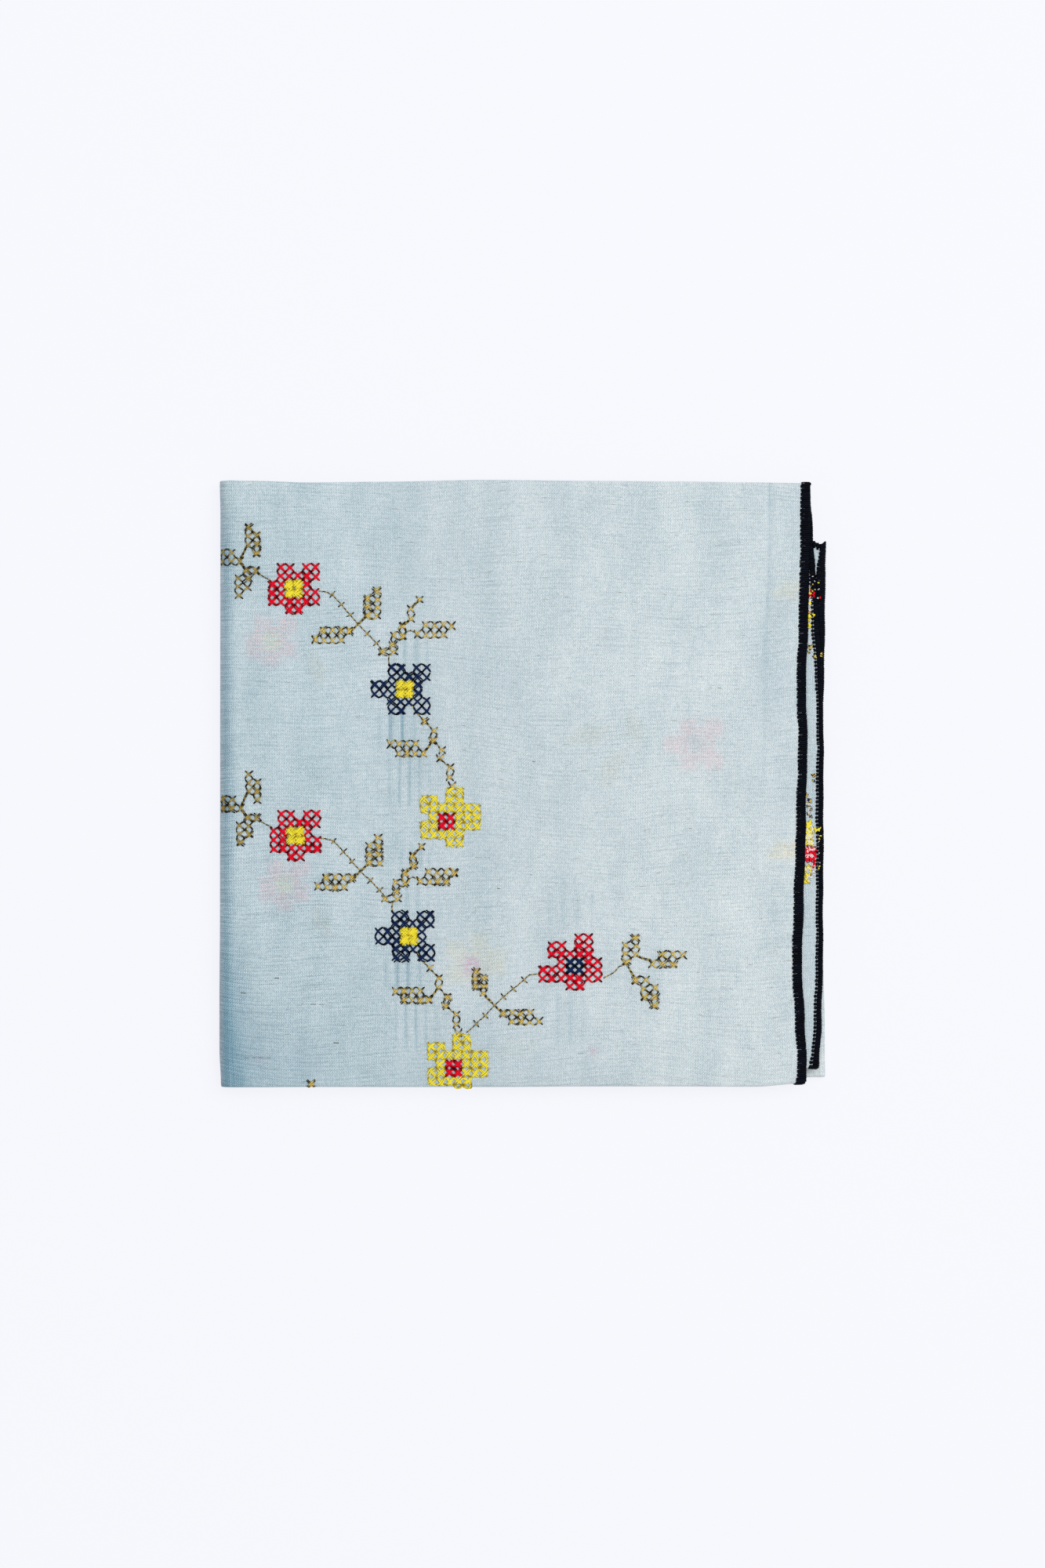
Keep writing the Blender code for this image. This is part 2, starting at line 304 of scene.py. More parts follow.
def end_of_layers(part, share, y):
    """x of the cloth's edge in the top quarter."""
    layer_1, layer_2, layer_3, layer_4 = [read_table(END_EDGES, f"layer_{layer}", y) for layer in range(1, 5)]
    edge = by_piece(part, [
        layer_3, blend(layer_3, layer_2, share), layer_2, blend(layer_2, layer_1, share),
        layer_1, blend(layer_1, layer_4, share), layer_4,
    ])
    ripple = 0.07 * np.sin(y / 2.3 + part * 1.7) + 0.06 * np.sin(y / 5.1 + part * 2.9)
    return edge - THREAD_BEYOND_CLOTH + ripple


def place_across(part, share, y, strip, end_x):
    """x of a place across the sheet, and its level in the packet."""
    turn_x = round_turn_x(y)
    plain_turn_x = read_table(END_EDGES, "plain_fold", y) - (PLAIN_FOLD_LEVEL + 0.2) * PITCH
    stops = (FAR_END_X - FAR_END_STEP * strip, turn_x, plain_turn_x, turn_x, end_x)
    levels = (QUARTER_4_TOP - strip, QUARTER_3_BASE + strip, QUARTER_2_TOP - strip, QUARTER_1_BASE + strip)
    reaches = (
        (ROUND_FOLD_LEVEL - levels[0]) * PITCH,
        reach_past_turn(levels[1] - PLAIN_FOLD_LEVEL, PLAIN_FOLD_LEVEL),
        -reach_past_turn(levels[3] - ROUND_FOLD_LEVEL, ROUND_FOLD_LEVEL),
    )
    return folded_run(part, share, stops, levels, reaches)


def sheet_point(across_part, across_share, up_part, up_share):
    """A point of the sheet, in millimetres, from its place across and up the scarf."""
    end_x = end_of_layers(up_part, up_share, 0 * up_share)
    guess_x = np.where(across_part == TOP_QUARTER, blend(round_turn_x(0), end_x, across_share), 0)
    lines = fold_lines_at(across_part, across_share, guess_x)
    y, strip = place_up(up_part, up_share, lines, guess_x)
    end_x = end_of_layers(up_part, up_share, y)
    x, level = place_across(across_part, across_share, y, strip, end_x)
    return np.stack([x, y, level_height(level, x, y)], -1)


def grid_lines(counts, starts):
    """The part and share of every line of the grid, and its distance along the flat cloth."""
    lines = [(part, index / count) for part, count in enumerate(counts) for index in range(count)]
    parts, shares = np.array(lines + [(len(counts) - 1, 1.0)]).T
    parts = parts.astype(int)
    return parts, shares, blend(starts[parts], starts[parts + 1], shares)


def new_object(name, data, **settings):
    """A new object in the scene, with settings of its data."""
    for key, value in settings.items():
        setattr(data, key, value)
    item = bpy.data.objects.new(name, data)
    bpy.context.scene.collection.objects.link(item)
    return item


def new_piece(name, points, faces, smooth=True):
    mesh = bpy.data.meshes.new(name)
    mesh.from_pydata((np.asarray(points) * MM).tolist(), [], faces)
    mesh.validate()
    mesh.polygons.foreach_set("use_smooth", [smooth] * len(mesh.polygons))
    mesh.update()
    return new_object(name, mesh)


def add_attribute(piece, name, kind, values):
    attribute = piece.data.attributes.new(name, kind, "POINT")
    field = {"FLOAT": "value", "FLOAT_VECTOR": "vector", "FLOAT_COLOR": "color"}[kind]
    attribute.data.foreach_set(field, np.asarray(values, np.float32).ravel())


# Charts, read one by one: a letter is a cross stitch. P is the petal's thread and C the centre's, and
# G is the gold thread of leaves.
RED_CHART = (".PP.PP", ".PPPPP", "PPCCP.", "PPCCPP", "PPPPPP", "..PP..")
NAVY_CHART = ("..PP.PP", "..PPPPP", "PPPCCP.", "PPPCCP.", "..PPPPP", "..PP.PP")
YELLOW_CHART = ("...PP..", "PP.PP..", "PPPPPPP", ".PCCPPP", "PPCCPPP", "PPPPP..", "...PP..")
WIDE_RED_CHART = ("....PP.", ".PP.PP.", ".PPPPP.", "..PCCPP", "PPPCCPP", "PPPPPPP", "...PP..")
LEAF_UP = ("G.", "GG", "GG", ".G")
LEAF_UP_TURNED = (".G", "GG", "GG", "GG")
LEAF_AT_FOLD = ("GG.", "GGG")
LEAF_STEPPED = (".GG", "GG.", "GG.", "G..")
LEAF_RISING = (".GGGG", "GGGG.")
LEAF_FALLING = ("GGGG.", ".GGGG")
LEAF_SHORT = (".GGG", "GGG.")
LEAF_OVER = (".G", "GG", "GG", "G.")
LEAF_SLANTED = ("GG.", ".GG", ".GG", "..G")
SINGLE = ("G",)


def motif_table(*rows):
    return table("chart x y width height petal centre", *rows, defaults=(None, None))


# One repeat of the garland: the left and top of each chart on the face of the top layer, and the size
# of its crosses
GARLAND = motif_table(
    (LEAF_UP, -86.7, 81.4, 2.4, 2.6), (LEAF_AT_FOLD, -95, 73.4, 2.6, 2.5),
    (LEAF_STEPPED, -89.9, 67.9, 2.6, 2.5), (RED_CHART, -79.4, 68.9, 2.65, 2.62, "red", "yellow"),
    (LEAF_UP_TURNED, -49.6, 61.5, 2.65, 2.5), (LEAF_RISING, -65.9, 49.1, 2.6, 2.6),
    (NAVY_CHART, -47.3, 37.5, 2.64, 2.62, "navy", "yellow"), (LEAF_RISING, -33.9, 50.8, 2.6, 2.6),
    (LEAF_FALLING, -42.4, 13.7, 2.5, 2.6), (YELLOW_CHART, -31.8, -1.1, 2.66, 2.64, "yellow", "red"),
)

# Stems of the garland: a running thread through these points, single or double, and the points at
# which a bar crosses it
Stem = namedtuple("Stem", "points bars double")


def stem(*points, bars=(), double=False):
    return Stem(points, bars, double)


GARLAND_STEMS = (
    stem((-88.7, 69.6), (-87.2, 72.3), (-86.2, 74.5), double=True),
    stem((-88.2, 69.1), (-86, 66.6), double=True),
    stem((-82.6, 65.9), (-81, 64.9), (-78.8, 63.6)),
    stem((-63.7, 60.3), (-61.7, 60.1), (-59.5, 59.3), (-56.6, 56.1), (-53.9, 52.9), (-51.4, 50),
         (-48.5, 47), (-45.6, 44.1), (-43.5, 41.4), bars=(2, 3, 4, 6, 7)),
    stem((-51.4, 50), (-50.2, 51), (-48.8, 52.6), double=True),
    stem((-54.4, 46.9), (-53.4, 47.9), (-51.4, 50), double=True),
    stem((-36.5, 47.4), (-34.8, 48.1), (-33.3, 47.2), (-32.6, 46.4)),
    stem((-41.6, 40.7), (-41.9, 39.2), (-41.6, 37.4)),
    stem((-36.9, 49.9), (-34.8, 51.8), double=True),
    stem((-34.7, 55), (-33.5, 56.4), (-32.4, 57.4), double=True),
    stem((-34.6, 24.8), (-32.8, 21.8), (-30.5, 19.6), (-27.7, 16.4)),
    stem((-27.9, 13.8), (-25.1, 10.5)),
    stem((-25.8, 8.1), (-22.5, 4.9)),
    stem((-27.9, 13.8), (-28.9, 12.2), (-30.9, 9.6), double=True),
)
# Cross stitches of the garland that stand alone or in a chain on a stem: their middles
GARLAND_CROSSES = (
    (-43.5, 41.3), (-40.4, 41.5), (-40.4, 43.8), (-40.1, 46.3), (-37.6, 46.4), (-37.5, 49.2),
    (-34.7, 51.9), (-34.9, 54.6), (-32.1, 57.6), (-30.5, 19.6), (-27.7, 16.4), (-27.9, 13.8),
    (-25.1, 10.5), (-25.8, 8.1), (-22.5, 4.9), (-22.7, 2.2), (-22.1, -0.5),
)
CHAIN_CROSS = 2.2

# The garland comes again one repeat lower, and runs on into the corner spray
REPEAT_DROP = 77.2
REPEAT_SHIFT = 0.3
REPEAT_LEAN = 0.025
SPRAY = motif_table(
    (LEAF_UP, -15.7, -57.5, 2.35, 2.25), (LEAF_FALLING, -7.2, -70.5, 2.7, 2.4),
    (WIDE_RED_CHART, 5.1, -46.8, 2.82, 2.52, "red", "navy"), (LEAF_OVER, 31.1, -47, 2.7, 2.4),
    (LEAF_SHORT, 39.4, -52.2, 3, 2.6), (LEAF_SLANTED, 34.2, -60, 2.8, 2.6), (SINGLE, -67.5, -92.5, 2.6, 2.6),
)
SPRAY_STEMS = (
    stem((-17.6, -77.7), (-14.4, -74.9), (-11.6, -72.3), (-8.7, -69.2), (-6, -66.5), (-2.8, -63.9),
         (0.5, -61.2), (2.2, -59.7), (5.2, -59.3), bars=(1, 2, 4, 5, 6)),
    stem((-11.8, -66.2), (-8.7, -69.2), (-5.9, -71.8), double=True),
    stem((25.2, -60.7), (28.7, -58.9), (30.1, -57.1), (31.9, -56.4)),
    stem((35.5, -53.4), (37.5, -54.6), (39.7, -54.9), (40.9, -56.1), double=True),
    stem((32.4, -55.9), (34, -58.8), (35.5, -61.2), double=True),
)

# Slubs: the left end of each, its length and width, and how light it is
SLUBS = table(
    "x y length width glow", (-77.6, -60.4, 2.6, 0.26, 0.35), (-88.3, -65.4, 3, 0.22, 0.6),
    (-59.2, -80.8, 3.6, 0.26, 0.5), (-69.2, -68.8, 8, 0.13, 0.6), (-87, -85.7, 9, 0.13, 0.6),
    (3, 7, 1.8, 0.18, 0.55), (-15, -22.9, 6, 0.12, 0.8), (-8, -32.6, 1.8, 0.18, 0.5),
    (2.4, -28.4, 1.8, 0.18, 0.55), (30, 60, 2.2, 0.14, 0.7), (52, -14, 2.4, 0.14, 0.6),
    (61, 30, 1.6, 0.16, 0.55),
)

# How each colour is stitched: width of a thread, threads side by side and how far apart they lie,
# how far a thread curves into a hole that it shares, how often a single thread is doubled, and the
# part of the stitch that stays bright, clear of the painted shade at its ends
Style = namedtuple("Style", "width strands apart curve doubled bright")
PETAL_STYLES = {
    "red": Style(0.73, 1, 0.0, 0.45, 0.45, 0.30), "navy": Style(0.66, 1, 0.0, 0.70, 0.40, 0.20),
    "gold": Style(0.53, 1, 0.0, 0.65, 0.40, 0.12), "yellow": Style(0.48, 2, 0.50, 0.9, 0.0, 0.55),
    "white": Style(0.26, 1, 0.0, 0.0, 0.0, 0.60),
}
CENTRE_STYLES = {
    "red": Style(0.64, 2, 0.47, 0.5, 0.0, 0.62), "navy": Style(0.60, 2, 0.42, 0.5, 0.0, 0.25),
    "yellow": Style(0.43, 5, 1.24, 0.5, 0.0, 0.60),
}
CHAIN_STYLE = Style(0.53, 1, 0.0, 0.8, 0.25, 0.12)
DOUBLED_APART = 0.48
DOUBLED_NARROWER = 0.78
# How much larger a cross is than its cell, how far its strands and its ends wander, and how much higher
# its second thread lies, and each further strand
CROSS_OVERLAP = 1.02
STRAND_WANDER = 0.03
END_WANDER = 0.06
SECOND_HIGHER = 0.16
STRAND_HIGHER = 0.05
STEM_THREAD = 0.36
STEM_STITCH = 1.5
DOUBLE_STEM_APART = 0.32
BAR_THREAD = 0.42
BAR_REACH = 1.35
KNOT_THREAD = 0.36
KNOTS_A_CROSS = 6
KNOT_ARCH = 0.62
KNOT_SPREAD = 1.1
FLATNESS = 0.68
THREAD_ARCH = 0.30
THREAD_POINTS = 11
# Shift of the twist from one thread to the next, so that they aren't alike
TWIST_SHIFT = 7.3
THREAD_SIDES = 5
COLOURS = ("red", "yellow", "navy", "gold", "white")


def left_of(direction):
    return np.array([-direction[1], direction[0]])


def cells(chart):
    """The crosses of a chart: row, column and letter."""
    for row, line in enumerate(chart):
        for column, letter in enumerate(line):
            if letter != ".":
                yield row, column, letter


def shared_corners(steps):
    """The corners of a cross at which neighbours' threads come in, from the steps to those neighbours."""
    return {(x or side, y or side, "x" if x else "y") for x, y in steps for side in (-1, 1)}


class Stitches:
    """Threads waiting to be laid on a face, sorted by colour."""

    def __init__(self, seed):
        self.chance = np.random.default_rng(seed)
        self.threads = {colour: [] for colour in COLOURS}

    def add(self, colour, start, end, width, arch=THREAD_ARCH, leans=None, drop=0.12, glow=1.0):
        """One thread from hole to hole. Its leans are the ways in which it leaves the two holes."""
        start, end = np.array(start, float), np.array(end, float)
        third = (end - start) / 3
        start_lean, end_lean = (third, -third) if leans is None else leans
        share = np.linspace(0, 1, THREAD_POINTS)[:, None]
        rest = 1 - share
        flat = (rest ** 3 * start + 3 * rest ** 2 * share * (start + start_lean)
                + 3 * rest * share ** 2 * (end + end_lean) + share ** 3 * end)
        place = np.abs(2 * share - 1)
        height = arch * (1 - place ** 3.5) - drop * place ** 6
        self.threads[colour].append((np.concatenate([flat, height], 1), width, glow))


def corner_lean(corner, half, shared, curve):
    """How a thread leaves a corner of its cross: level or upright where a neighbour comes in."""
    straight = -np.array(corner) * half * 2 / 3
    side_by_side, one_over_other = corner + ("x",) in shared, corner + ("y",) in shared
    if side_by_side == one_over_other:
        return straight
    level = np.array([1.0, 0.0]) if side_by_side else np.array([0.0, 1.0])
    curved = -np.array(corner) * half * level * 0.95
    return blend(straight, curved, curve)


def cross_stitch(stitches, colour, middle, size, style, shared=()):
    """Two crossing threads. shared names the corners at which a neighbour's thread comes in, and how."""
    chance = stitches.chance
    half = np.array(size) / 2
    strands, apart, width = style.strands, style.apart, style.width
    if chance.random() < style.doubled:
        strands, apart, width = 2, DOUBLED_APART, style.width * DOUBLED_NARROWER
    for turn, corner in enumerate(((-1, 1), (1, 1))):
        opposite = (-corner[0], -corner[1])
        for strand in range(strands):
            aside = 0 if strands == 1 else apart * (strand / (strands - 1) - 0.5)
            offset = left_of(corner) * math.sqrt(0.5) * aside + chance.normal(0, STRAND_WANDER * strands, 2)
            ends = [middle + np.array(tip) * half + offset + chance.normal(0, END_WANDER, 2)
                    for tip in (corner, opposite)]
            curves = np.clip(style.curve * chance.uniform(0.6, 1.25, 2), 0, 1.2)
            leans = [corner_lean(tip, half, shared, curve) for tip, curve in zip((corner, opposite), curves)]
            stitches.add(colour, *ends, width * chance.uniform(0.92, 1.08),
                         arch=THREAD_ARCH + SECOND_HIGHER * turn + STRAND_HIGHER * strand, leans=leans)


def knots(stitches, colour, middle):
    """Short loops over a cross of a flower's centre."""
    chance = stitches.chance
    for _ in range(KNOTS_A_CROSS):
        spot = middle + chance.uniform(-KNOT_SPREAD, KNOT_SPREAD, 2)
        angle = chance.uniform(0, math.pi)
        step = np.array([math.cos(angle), math.sin(angle)]) * chance.uniform(0.3, 0.6)
        lean = step * 2 / 3 + chance.normal(0, 0.25, 2)
        stitches.add(colour, spot - step, spot + step, KNOT_THREAD, arch=KNOT_ARCH,
                     leans=(lean, -step * 2 / 3), drop=-0.1, glow=chance.uniform(0.7, 1.15))


def chart_stitches(stitches, motif, place):
    """The cross stitches of one chart. place moves a point of the chart to the face."""
    colours = {"P": motif.petal, "C": motif.centre, "G": "gold"}
    filled = {cell[:2] for cell in cells(motif.chart)}
    for row, column, letter in cells(motif.chart):
        colour = colours[letter]
        middle = place(motif.x + (column + 0.5) * motif.width, motif.y - (row + 0.5) * motif.height)
        style = CENTRE_STYLES[colour] if letter == "C" else PETAL_STYLES[colour]
        neighbours = [step for step in ((-1, 0), (1, 0), (0, -1), (0, 1))
                      if (row - step[1], column + step[0]) in filled]
        size = (motif.width * CROSS_OVERLAP, motif.height * CROSS_OVERLAP)
        cross_stitch(stitches, colour, middle, size, style, shared_corners(neighbours))
        if letter == "C" and colour == "yellow":
            knots(stitches, colour, middle)


def stem_stitches(stitches, line, place):
    """A running thread in short stitches along a stem, and a bar across it at each small cross."""
    chance = stitches.chance
    points = np.array([place(*point) for point in line.points])
    along = np.concatenate([[0], np.cumsum(np.hypot(*np.diff(points, axis=0).T))])
    count = max(2, int(round(along[-1] / STEM_STITCH)))
    marks = np.linspace(0, along[-1], count + 1)
    route = np.stack([np.interp(marks, along, points[:, axis]) for axis in (0, 1)], -1)
    for offset in (-DOUBLE_STEM_APART / 2, DOUBLE_STEM_APART / 2) if line.double else (0,):
        for start, end in zip(route, route[1:]):
            direction = (end - start) / max(np.hypot(*(end - start)), 1e-6)
            aside = left_of(direction) * offset + chance.normal(0, 0.05, 2)
            stitches.add("gold", start + aside, end + aside + direction * 0.15, STEM_THREAD,
                         arch=0.2, drop=0.05, glow=0.8)
    for index in line.bars:
        run = points[index + 1] - points[index - 1]
        reach = left_of(run / np.hypot(*run)) * BAR_REACH
        wander = chance.normal(0, 0.10, (2, 2))
        stitches.add("gold", points[index] - reach + wander[0], points[index] + reach + wander[1], BAR_THREAD,
                     arch=0.34, glow=0.8)


def chain_cross(stitches, middle, place):
    """A gold cross of a chain. It reaches to the holes that it shares with the crosses beside it."""
    size, neighbours = [CHAIN_CROSS, CHAIN_CROSS], []
    for other in GARLAND_CROSSES:
        step = np.subtract(other, middle)
        for axis in (0, 1):
            if abs(step[1 - axis]) < 0.9 and 1.6 < abs(step[axis]) < 3.3:
                size[axis] = abs(step[axis]) * CROSS_OVERLAP
                neighbours.append([int(np.sign(step[axis])) * (axis == other_axis) for other_axis in (0, 1)])
    cross_stitch(stitches, "gold", place(*middle), size, CHAIN_STYLE, shared_corners(neighbours))


def slub_threads(stitches):
    """Thick brown places of single weft yarns, lying in the face."""
    chance = stitches.chance
    for slub in SLUBS:
        count = max(1, int(slub.length / 2.2))
        for index in range(count):
            start = np.array([slub.x + index * slub.length / count, slub.y + chance.normal(0, 0.10)])
            end = start + np.array([slub.length / count * chance.uniform(0.3, 0.9), -0.10])
            stitches.add("gold", start, end, slub.width, arch=0.02, drop=0.10, glow=slub.glow)


def embroider(stitches, place, motifs, stems, crosses=()):
    for motif in motifs:
        chart_stitches(stitches, motif, place)
    for line in stems:
        stem_stitches(stitches, line, place)
    for middle in crosses:
        chain_cross(stitches, middle, place)


def stay(x, y):
    return np.array([x, y])


def one_repeat_lower(x, y):
    lower = y - REPEAT_DROP
    return np.array([x + REPEAT_SHIFT - REPEAT_LEAN * (lower + 8.3), lower])


def top_face(x, y):
    """The face of the top layer. Left of the round fold and below the foot it runs on over the turn."""
    turn_x = round_turn_x(y)
    foot_turn = read_table(FOLD_LINES, "foot", np.clip(x, -93.0, 90.0)) + FOOT_REACH
    foot_angle = np.clip((foot_turn - y) / (FOOT_REACH * 1.1), 0, math.pi)
    strip = 1.5 + 1.5 * np.cos(foot_angle)
    at_y = np.where(y < foot_turn, foot_turn - FOOT_REACH * np.sin(foot_angle), y)
    outer = QUARTER_1_BASE - ROUND_FOLD_LEVEL + strip
    reach = reach_past_turn(outer, ROUND_FOLD_LEVEL)
    fold_angle = np.clip((turn_x - x) / (0.5 * reach + 0.5 * outer * PITCH), 0, math.pi)
    at_x = np.where(x < turn_x, turn_x - reach * np.sin(fold_angle), x)
    level = ROUND_FOLD_LEVEL + outer * np.cos(fold_angle)
    return np.stack([at_x, at_y, level_height(level, at_x, at_y)], -1)


def second_layer_face(x, y):
    """The wrong side of layer 2, which shows between the two bands at the right."""
    return np.stack([x, y, level_height(QUARTER_1_BASE + STRIP_LEVELS[1], x, y)], -1)


def lay_on(face, route):
    """Points of a thread on a face, and the outward normals there."""
    small = 0.02
    x, y, lift = route[..., 0], route[..., 1], route[..., 2]
    slope_x = face(x + small, y) - face(x - small, y)
    slope_y = face(x, y + small) - face(x, y - small)
    normal = np.cross(slope_x, slope_y)
    has_slope = np.linalg.norm(normal, axis=-1, keepdims=True) > 1e-9
    normal = np.where(has_slope, unit(normal), (0.0, 0.0, 1.0))
    return face(x, y) + normal * lift[..., None], normal


def tube_piece(name, centres, ups, widths, thicknesses, shades, sides):
    """Many closed flattened tubes as one piece. Its shade attribute runs along each thread."""
    count, points = centres.shape[:2]
    tangent = unit(np.gradient(centres, axis=1))
    side = unit(np.cross(ups, tangent))
    up = np.cross(tangent, side)
    angles = 2 * math.pi * (np.arange(sides) + 0.5) / sides
    ring = (centres[:, :, None]
            + side[:, :, None] * (widths[..., None, None] / 2) * np.cos(angles)[:, None]
            + up[:, :, None] * (thicknesses[..., None, None] / 2) * np.sin(angles)[:, None])
    index = np.arange(count * points * sides).reshape(count, points, sides)
    turned = np.roll(index, -1, axis=2)
    quads = np.stack([index[:, :-1], turned[:, :-1], turned[:, 1:], index[:, 1:]], -1).reshape(-1, 4)
    caps = np.concatenate([index[:, 0, ::-1], index[:, -1]])
    piece = new_piece(name, ring.reshape(-1, 3), quads.tolist() + caps.tolist())
    lengths = np.linalg.norm(np.diff(centres, axis=1), axis=-1)
    along = np.concatenate([np.zeros((count, 1)), np.cumsum(lengths, axis=1)], axis=1)
    add_attribute(piece, "shade", "FLOAT", np.repeat(shades.ravel(), sides))
    place = np.zeros((count, points, sides, 3))
    place[..., 0] = along[..., None] + TWIST_SHIFT * np.arange(count)[:, None, None]
    place[..., 1] = np.cos(angles)
    place[..., 2] = np.sin(angles)
    add_attribute(piece, "thread_place", "FLOAT_VECTOR", place.reshape(-1, 3))
    return piece


def thread_shades(count, bright, chance):
    """Painted light in the middle of a stitch and painted shade where it dives into the cloth, a little
    uneven.
    """
    share = np.linspace(-1, 1, THREAD_POINTS)
    middle = chance.normal(0, 0.16, (count, 1))
    reach = bright + chance.normal(0, 0.07, (count, 1))
    return np.clip(1 - eased(reach, 0.97, np.abs(share - middle)), 0, 1)


def stitched_pieces(groups):
    """One piece for each colour of thread, from the stitches on each face."""
    pieces = {}
    taper = 1 - 0.25 * np.abs(np.linspace(-1, 1, THREAD_POINTS)) ** 6
    for colour in COLOURS:
        parts = []
        for stitches, face in groups:
            threads = stitches.threads[colour]
            if not threads:
                continue
            points, normals = lay_on(face, np.array([thread[0] for thread in threads]))
            width, glow = [np.array([thread[column] for thread in threads])[:, None] for column in (1, 2)]
            # Painted shade: gold thread is drawn darker towards the round fold at the left
            if colour == "gold":
                glow = glow * (1 - 0.25 * eased(-68, -90, points[..., 0]))
            shades = glow * thread_shades(len(threads), PETAL_STYLES[colour].bright, stitches.chance)
            parts.append((points, normals, width * taper, shades))
        centres, ups, widths, shades = [np.concatenate(arrays) for arrays in zip(*parts)]
        pieces[colour] = tube_piece("stitches_" + colour, centres, ups, widths, widths * FLATNESS, shades,
                                    THREAD_SIDES)
    return pieces


# Stitches that show on the wrong side of layer 2, between the two bands: loose tangles of thread. Some
# lie over the second band.
TANGLES = table(
    "colour left right top foot threads length over", ("gold", 89.3, 89.7, 66, 64.6, 2, 0.9),
    ("white", 90.6, 90.8, 65, 64.8, 1, 0.5, True), ("white", 91.1, 91.3, 63.6, 63.4, 1, 0.4, True),
    ("yellow", 92.4, 92.7, 63.1, 62.9, 1, 0.5, True), ("white", 89.3, 89.8, 63.2, 60, 7, 1),
    ("yellow", 89.3, 89.8, 62, 59.4, 5, 0.9), ("red", 90, 90.2, 60.7, 60.4, 1, 0.5, True),
    ("gold", 91.5, 91.8, 60.9, 60.6, 1, 0.6, True), ("white", 92.3, 92.5, 60.8, 60.7, 1, 0.4, True),
    ("gold", 90.5, 90.8, 62.4, 60.4, 2, 0.5, True), ("red", 89.3, 90.2, 59.4, 58.2, 9, 1.3),
    ("red", 90.5, 91.4, 59.9, 58.5, 5, 1.1, True), ("white", 92.2, 92.5, 58.2, 58, 2, 0.7, True),
    ("red", 92.8, 93.2, 58.4, 58, 2, 0.7, True), ("yellow", 89.7, 90.3, 59.9, 59.4, 3, 1),
    ("white", 89.3, 90.2, 58.2, 57.2, 7, 0.9), ("yellow", 89.2, 90.3, 57.2, 56.3, 6, 1.1),
    ("white", 89.2, 90.3, 56.3, 54.3, 11, 1.1), ("gold", 89.3, 90, 54.1, 53.2, 4, 1),
    ("red", 89.4, 90, 54, 53.4, 2, 0.9), ("yellow", 89.1, 90.2, 53.3, 51.1, 12, 1.3),
    ("yellow", 91, 91.3, 53.1, 52.2, 3, 0.9, True), ("white", 89.2, 90.3, 51.3, 50.2, 5, 0.9),
    ("yellow", 89.1, 90.3, 50.3, 48.8, 9, 1.2), ("gold", 89.6, 90.5, 43.2, 42.2, 5, 1.5),
    ("gold", 89.3, 89.8, 41.4, 41, 2, 0.9), ("white", 89.7, 90.8, 42.8, 41, 5, 0.9),
    ("gold", 91, 91.9, 40.4, 39.1, 5, 1.1, True), ("gold", 93.2, 93.5, 41.2, 39.6, 3, 1, True),
    ("gold", 90.7, 91.2, 2.9, 2.4, 4, 1.1), ("gold", 91.4, 91.8, 2.8, 2.4, 2, 0.8, True),
    ("gold", 90.8, 91.3, 1.1, 0.9, 2, 1), ("white", 91.1, 91.6, 0.8, -2.2, 5, 0.8),
    ("gold", 88.9, 89.5, -3, -4.2, 4, 1.2), ("gold", 89.1, 90.1, -4.8, -5.6, 5, 1.4),
    ("gold", 89.1, 89.7, -6.7, -7.3, 3, 1), ("gold", 89.9, 90.5, -7.7, -8, 2, 1.1),
    ("gold", 89.2, 89.9, -9, -9.8, 5, 1.2), ("gold", 90, 90.6, -10, -10.4, 2, 1),
    ("white", 88.8, 90.2, -3.4, -9.6, 12, 0.8), ("yellow", 88.6, 90.3, -11.8, -13.6, 14, 1.6),
    ("yellow", 88.1, 90.5, -13.4, -18.8, 48, 1.8), ("white", 88.4, 91.2, -13, -18.8, 44, 1.4),
    ("yellow", 90.3, 91.6, -13.7, -14.6, 4, 1.6), ("yellow", 91.6, 93.1, -13.9, -14.9, 6, 1.5, True),
    ("yellow", 92.9, 93.1, -16.2, -16.5, 1, 0.8, True), ("gold", 90.1, 90.5, -18.8, -19.2, 3, 1),
    ("red", 88.2, 91.7, -19.8, -24, 74, 1.7), ("white", 88.9, 91.4, -20, -21.5, 14, 1.1),
    ("white", 88.5, 91, -22.2, -23, 12, 1.1), ("red", 90.6, 91.4, -24.4, -26, 7, 1.3),
    ("gold", 90.2, 90.7, -25.5, -26, 3, 0.8), ("white", 88.2, 91.5, -24.8, -30.4, 30, 1.2),
    ("yellow", 87.9, 90, -25.4, -30.6, 20, 1.9), ("gold", 90, 90.3, -28, -28.4, 2, 0.9),
    ("gold", 88.2, 88.6, -28, -28.4, 2, 0.8), ("yellow", 92.6, 93, -17, -27, 3, 0.5, True),
    ("white", 92.6, 93, -18, -26, 3, 0.4, True), ("navy", 89.5, 90.2, 43.3, 42.6, 2, 1),
    ("navy", 89.3, 89.8, 41.3, 41, 2, 0.8), ("navy", 90.7, 91.2, 2.9, 2.4, 3, 1),
    ("navy", 90.8, 91.3, 1.1, 0.9, 2, 0.8), ("navy", 89.2, 89.9, -5, -5.5, 3, 1.1),
    ("navy", 89.1, 89.6, -6.8, -7.2, 2, 0.8), ("navy", 90, 90.5, -7.8, -8, 1, 0.9),
    ("navy", 89.3, 90.3, -9.3, -10.2, 3, 1), defaults=(False,),
)
TANGLE_LIFTS = {"white": 0.30, "gold": 0.20, "red": 0.20, "yellow": 0.22, "navy": 0.22}
TANGLE_THREAD = 0.42
WHITE_TANGLE_THREAD = 0.26
OVER_BAND = 0.36


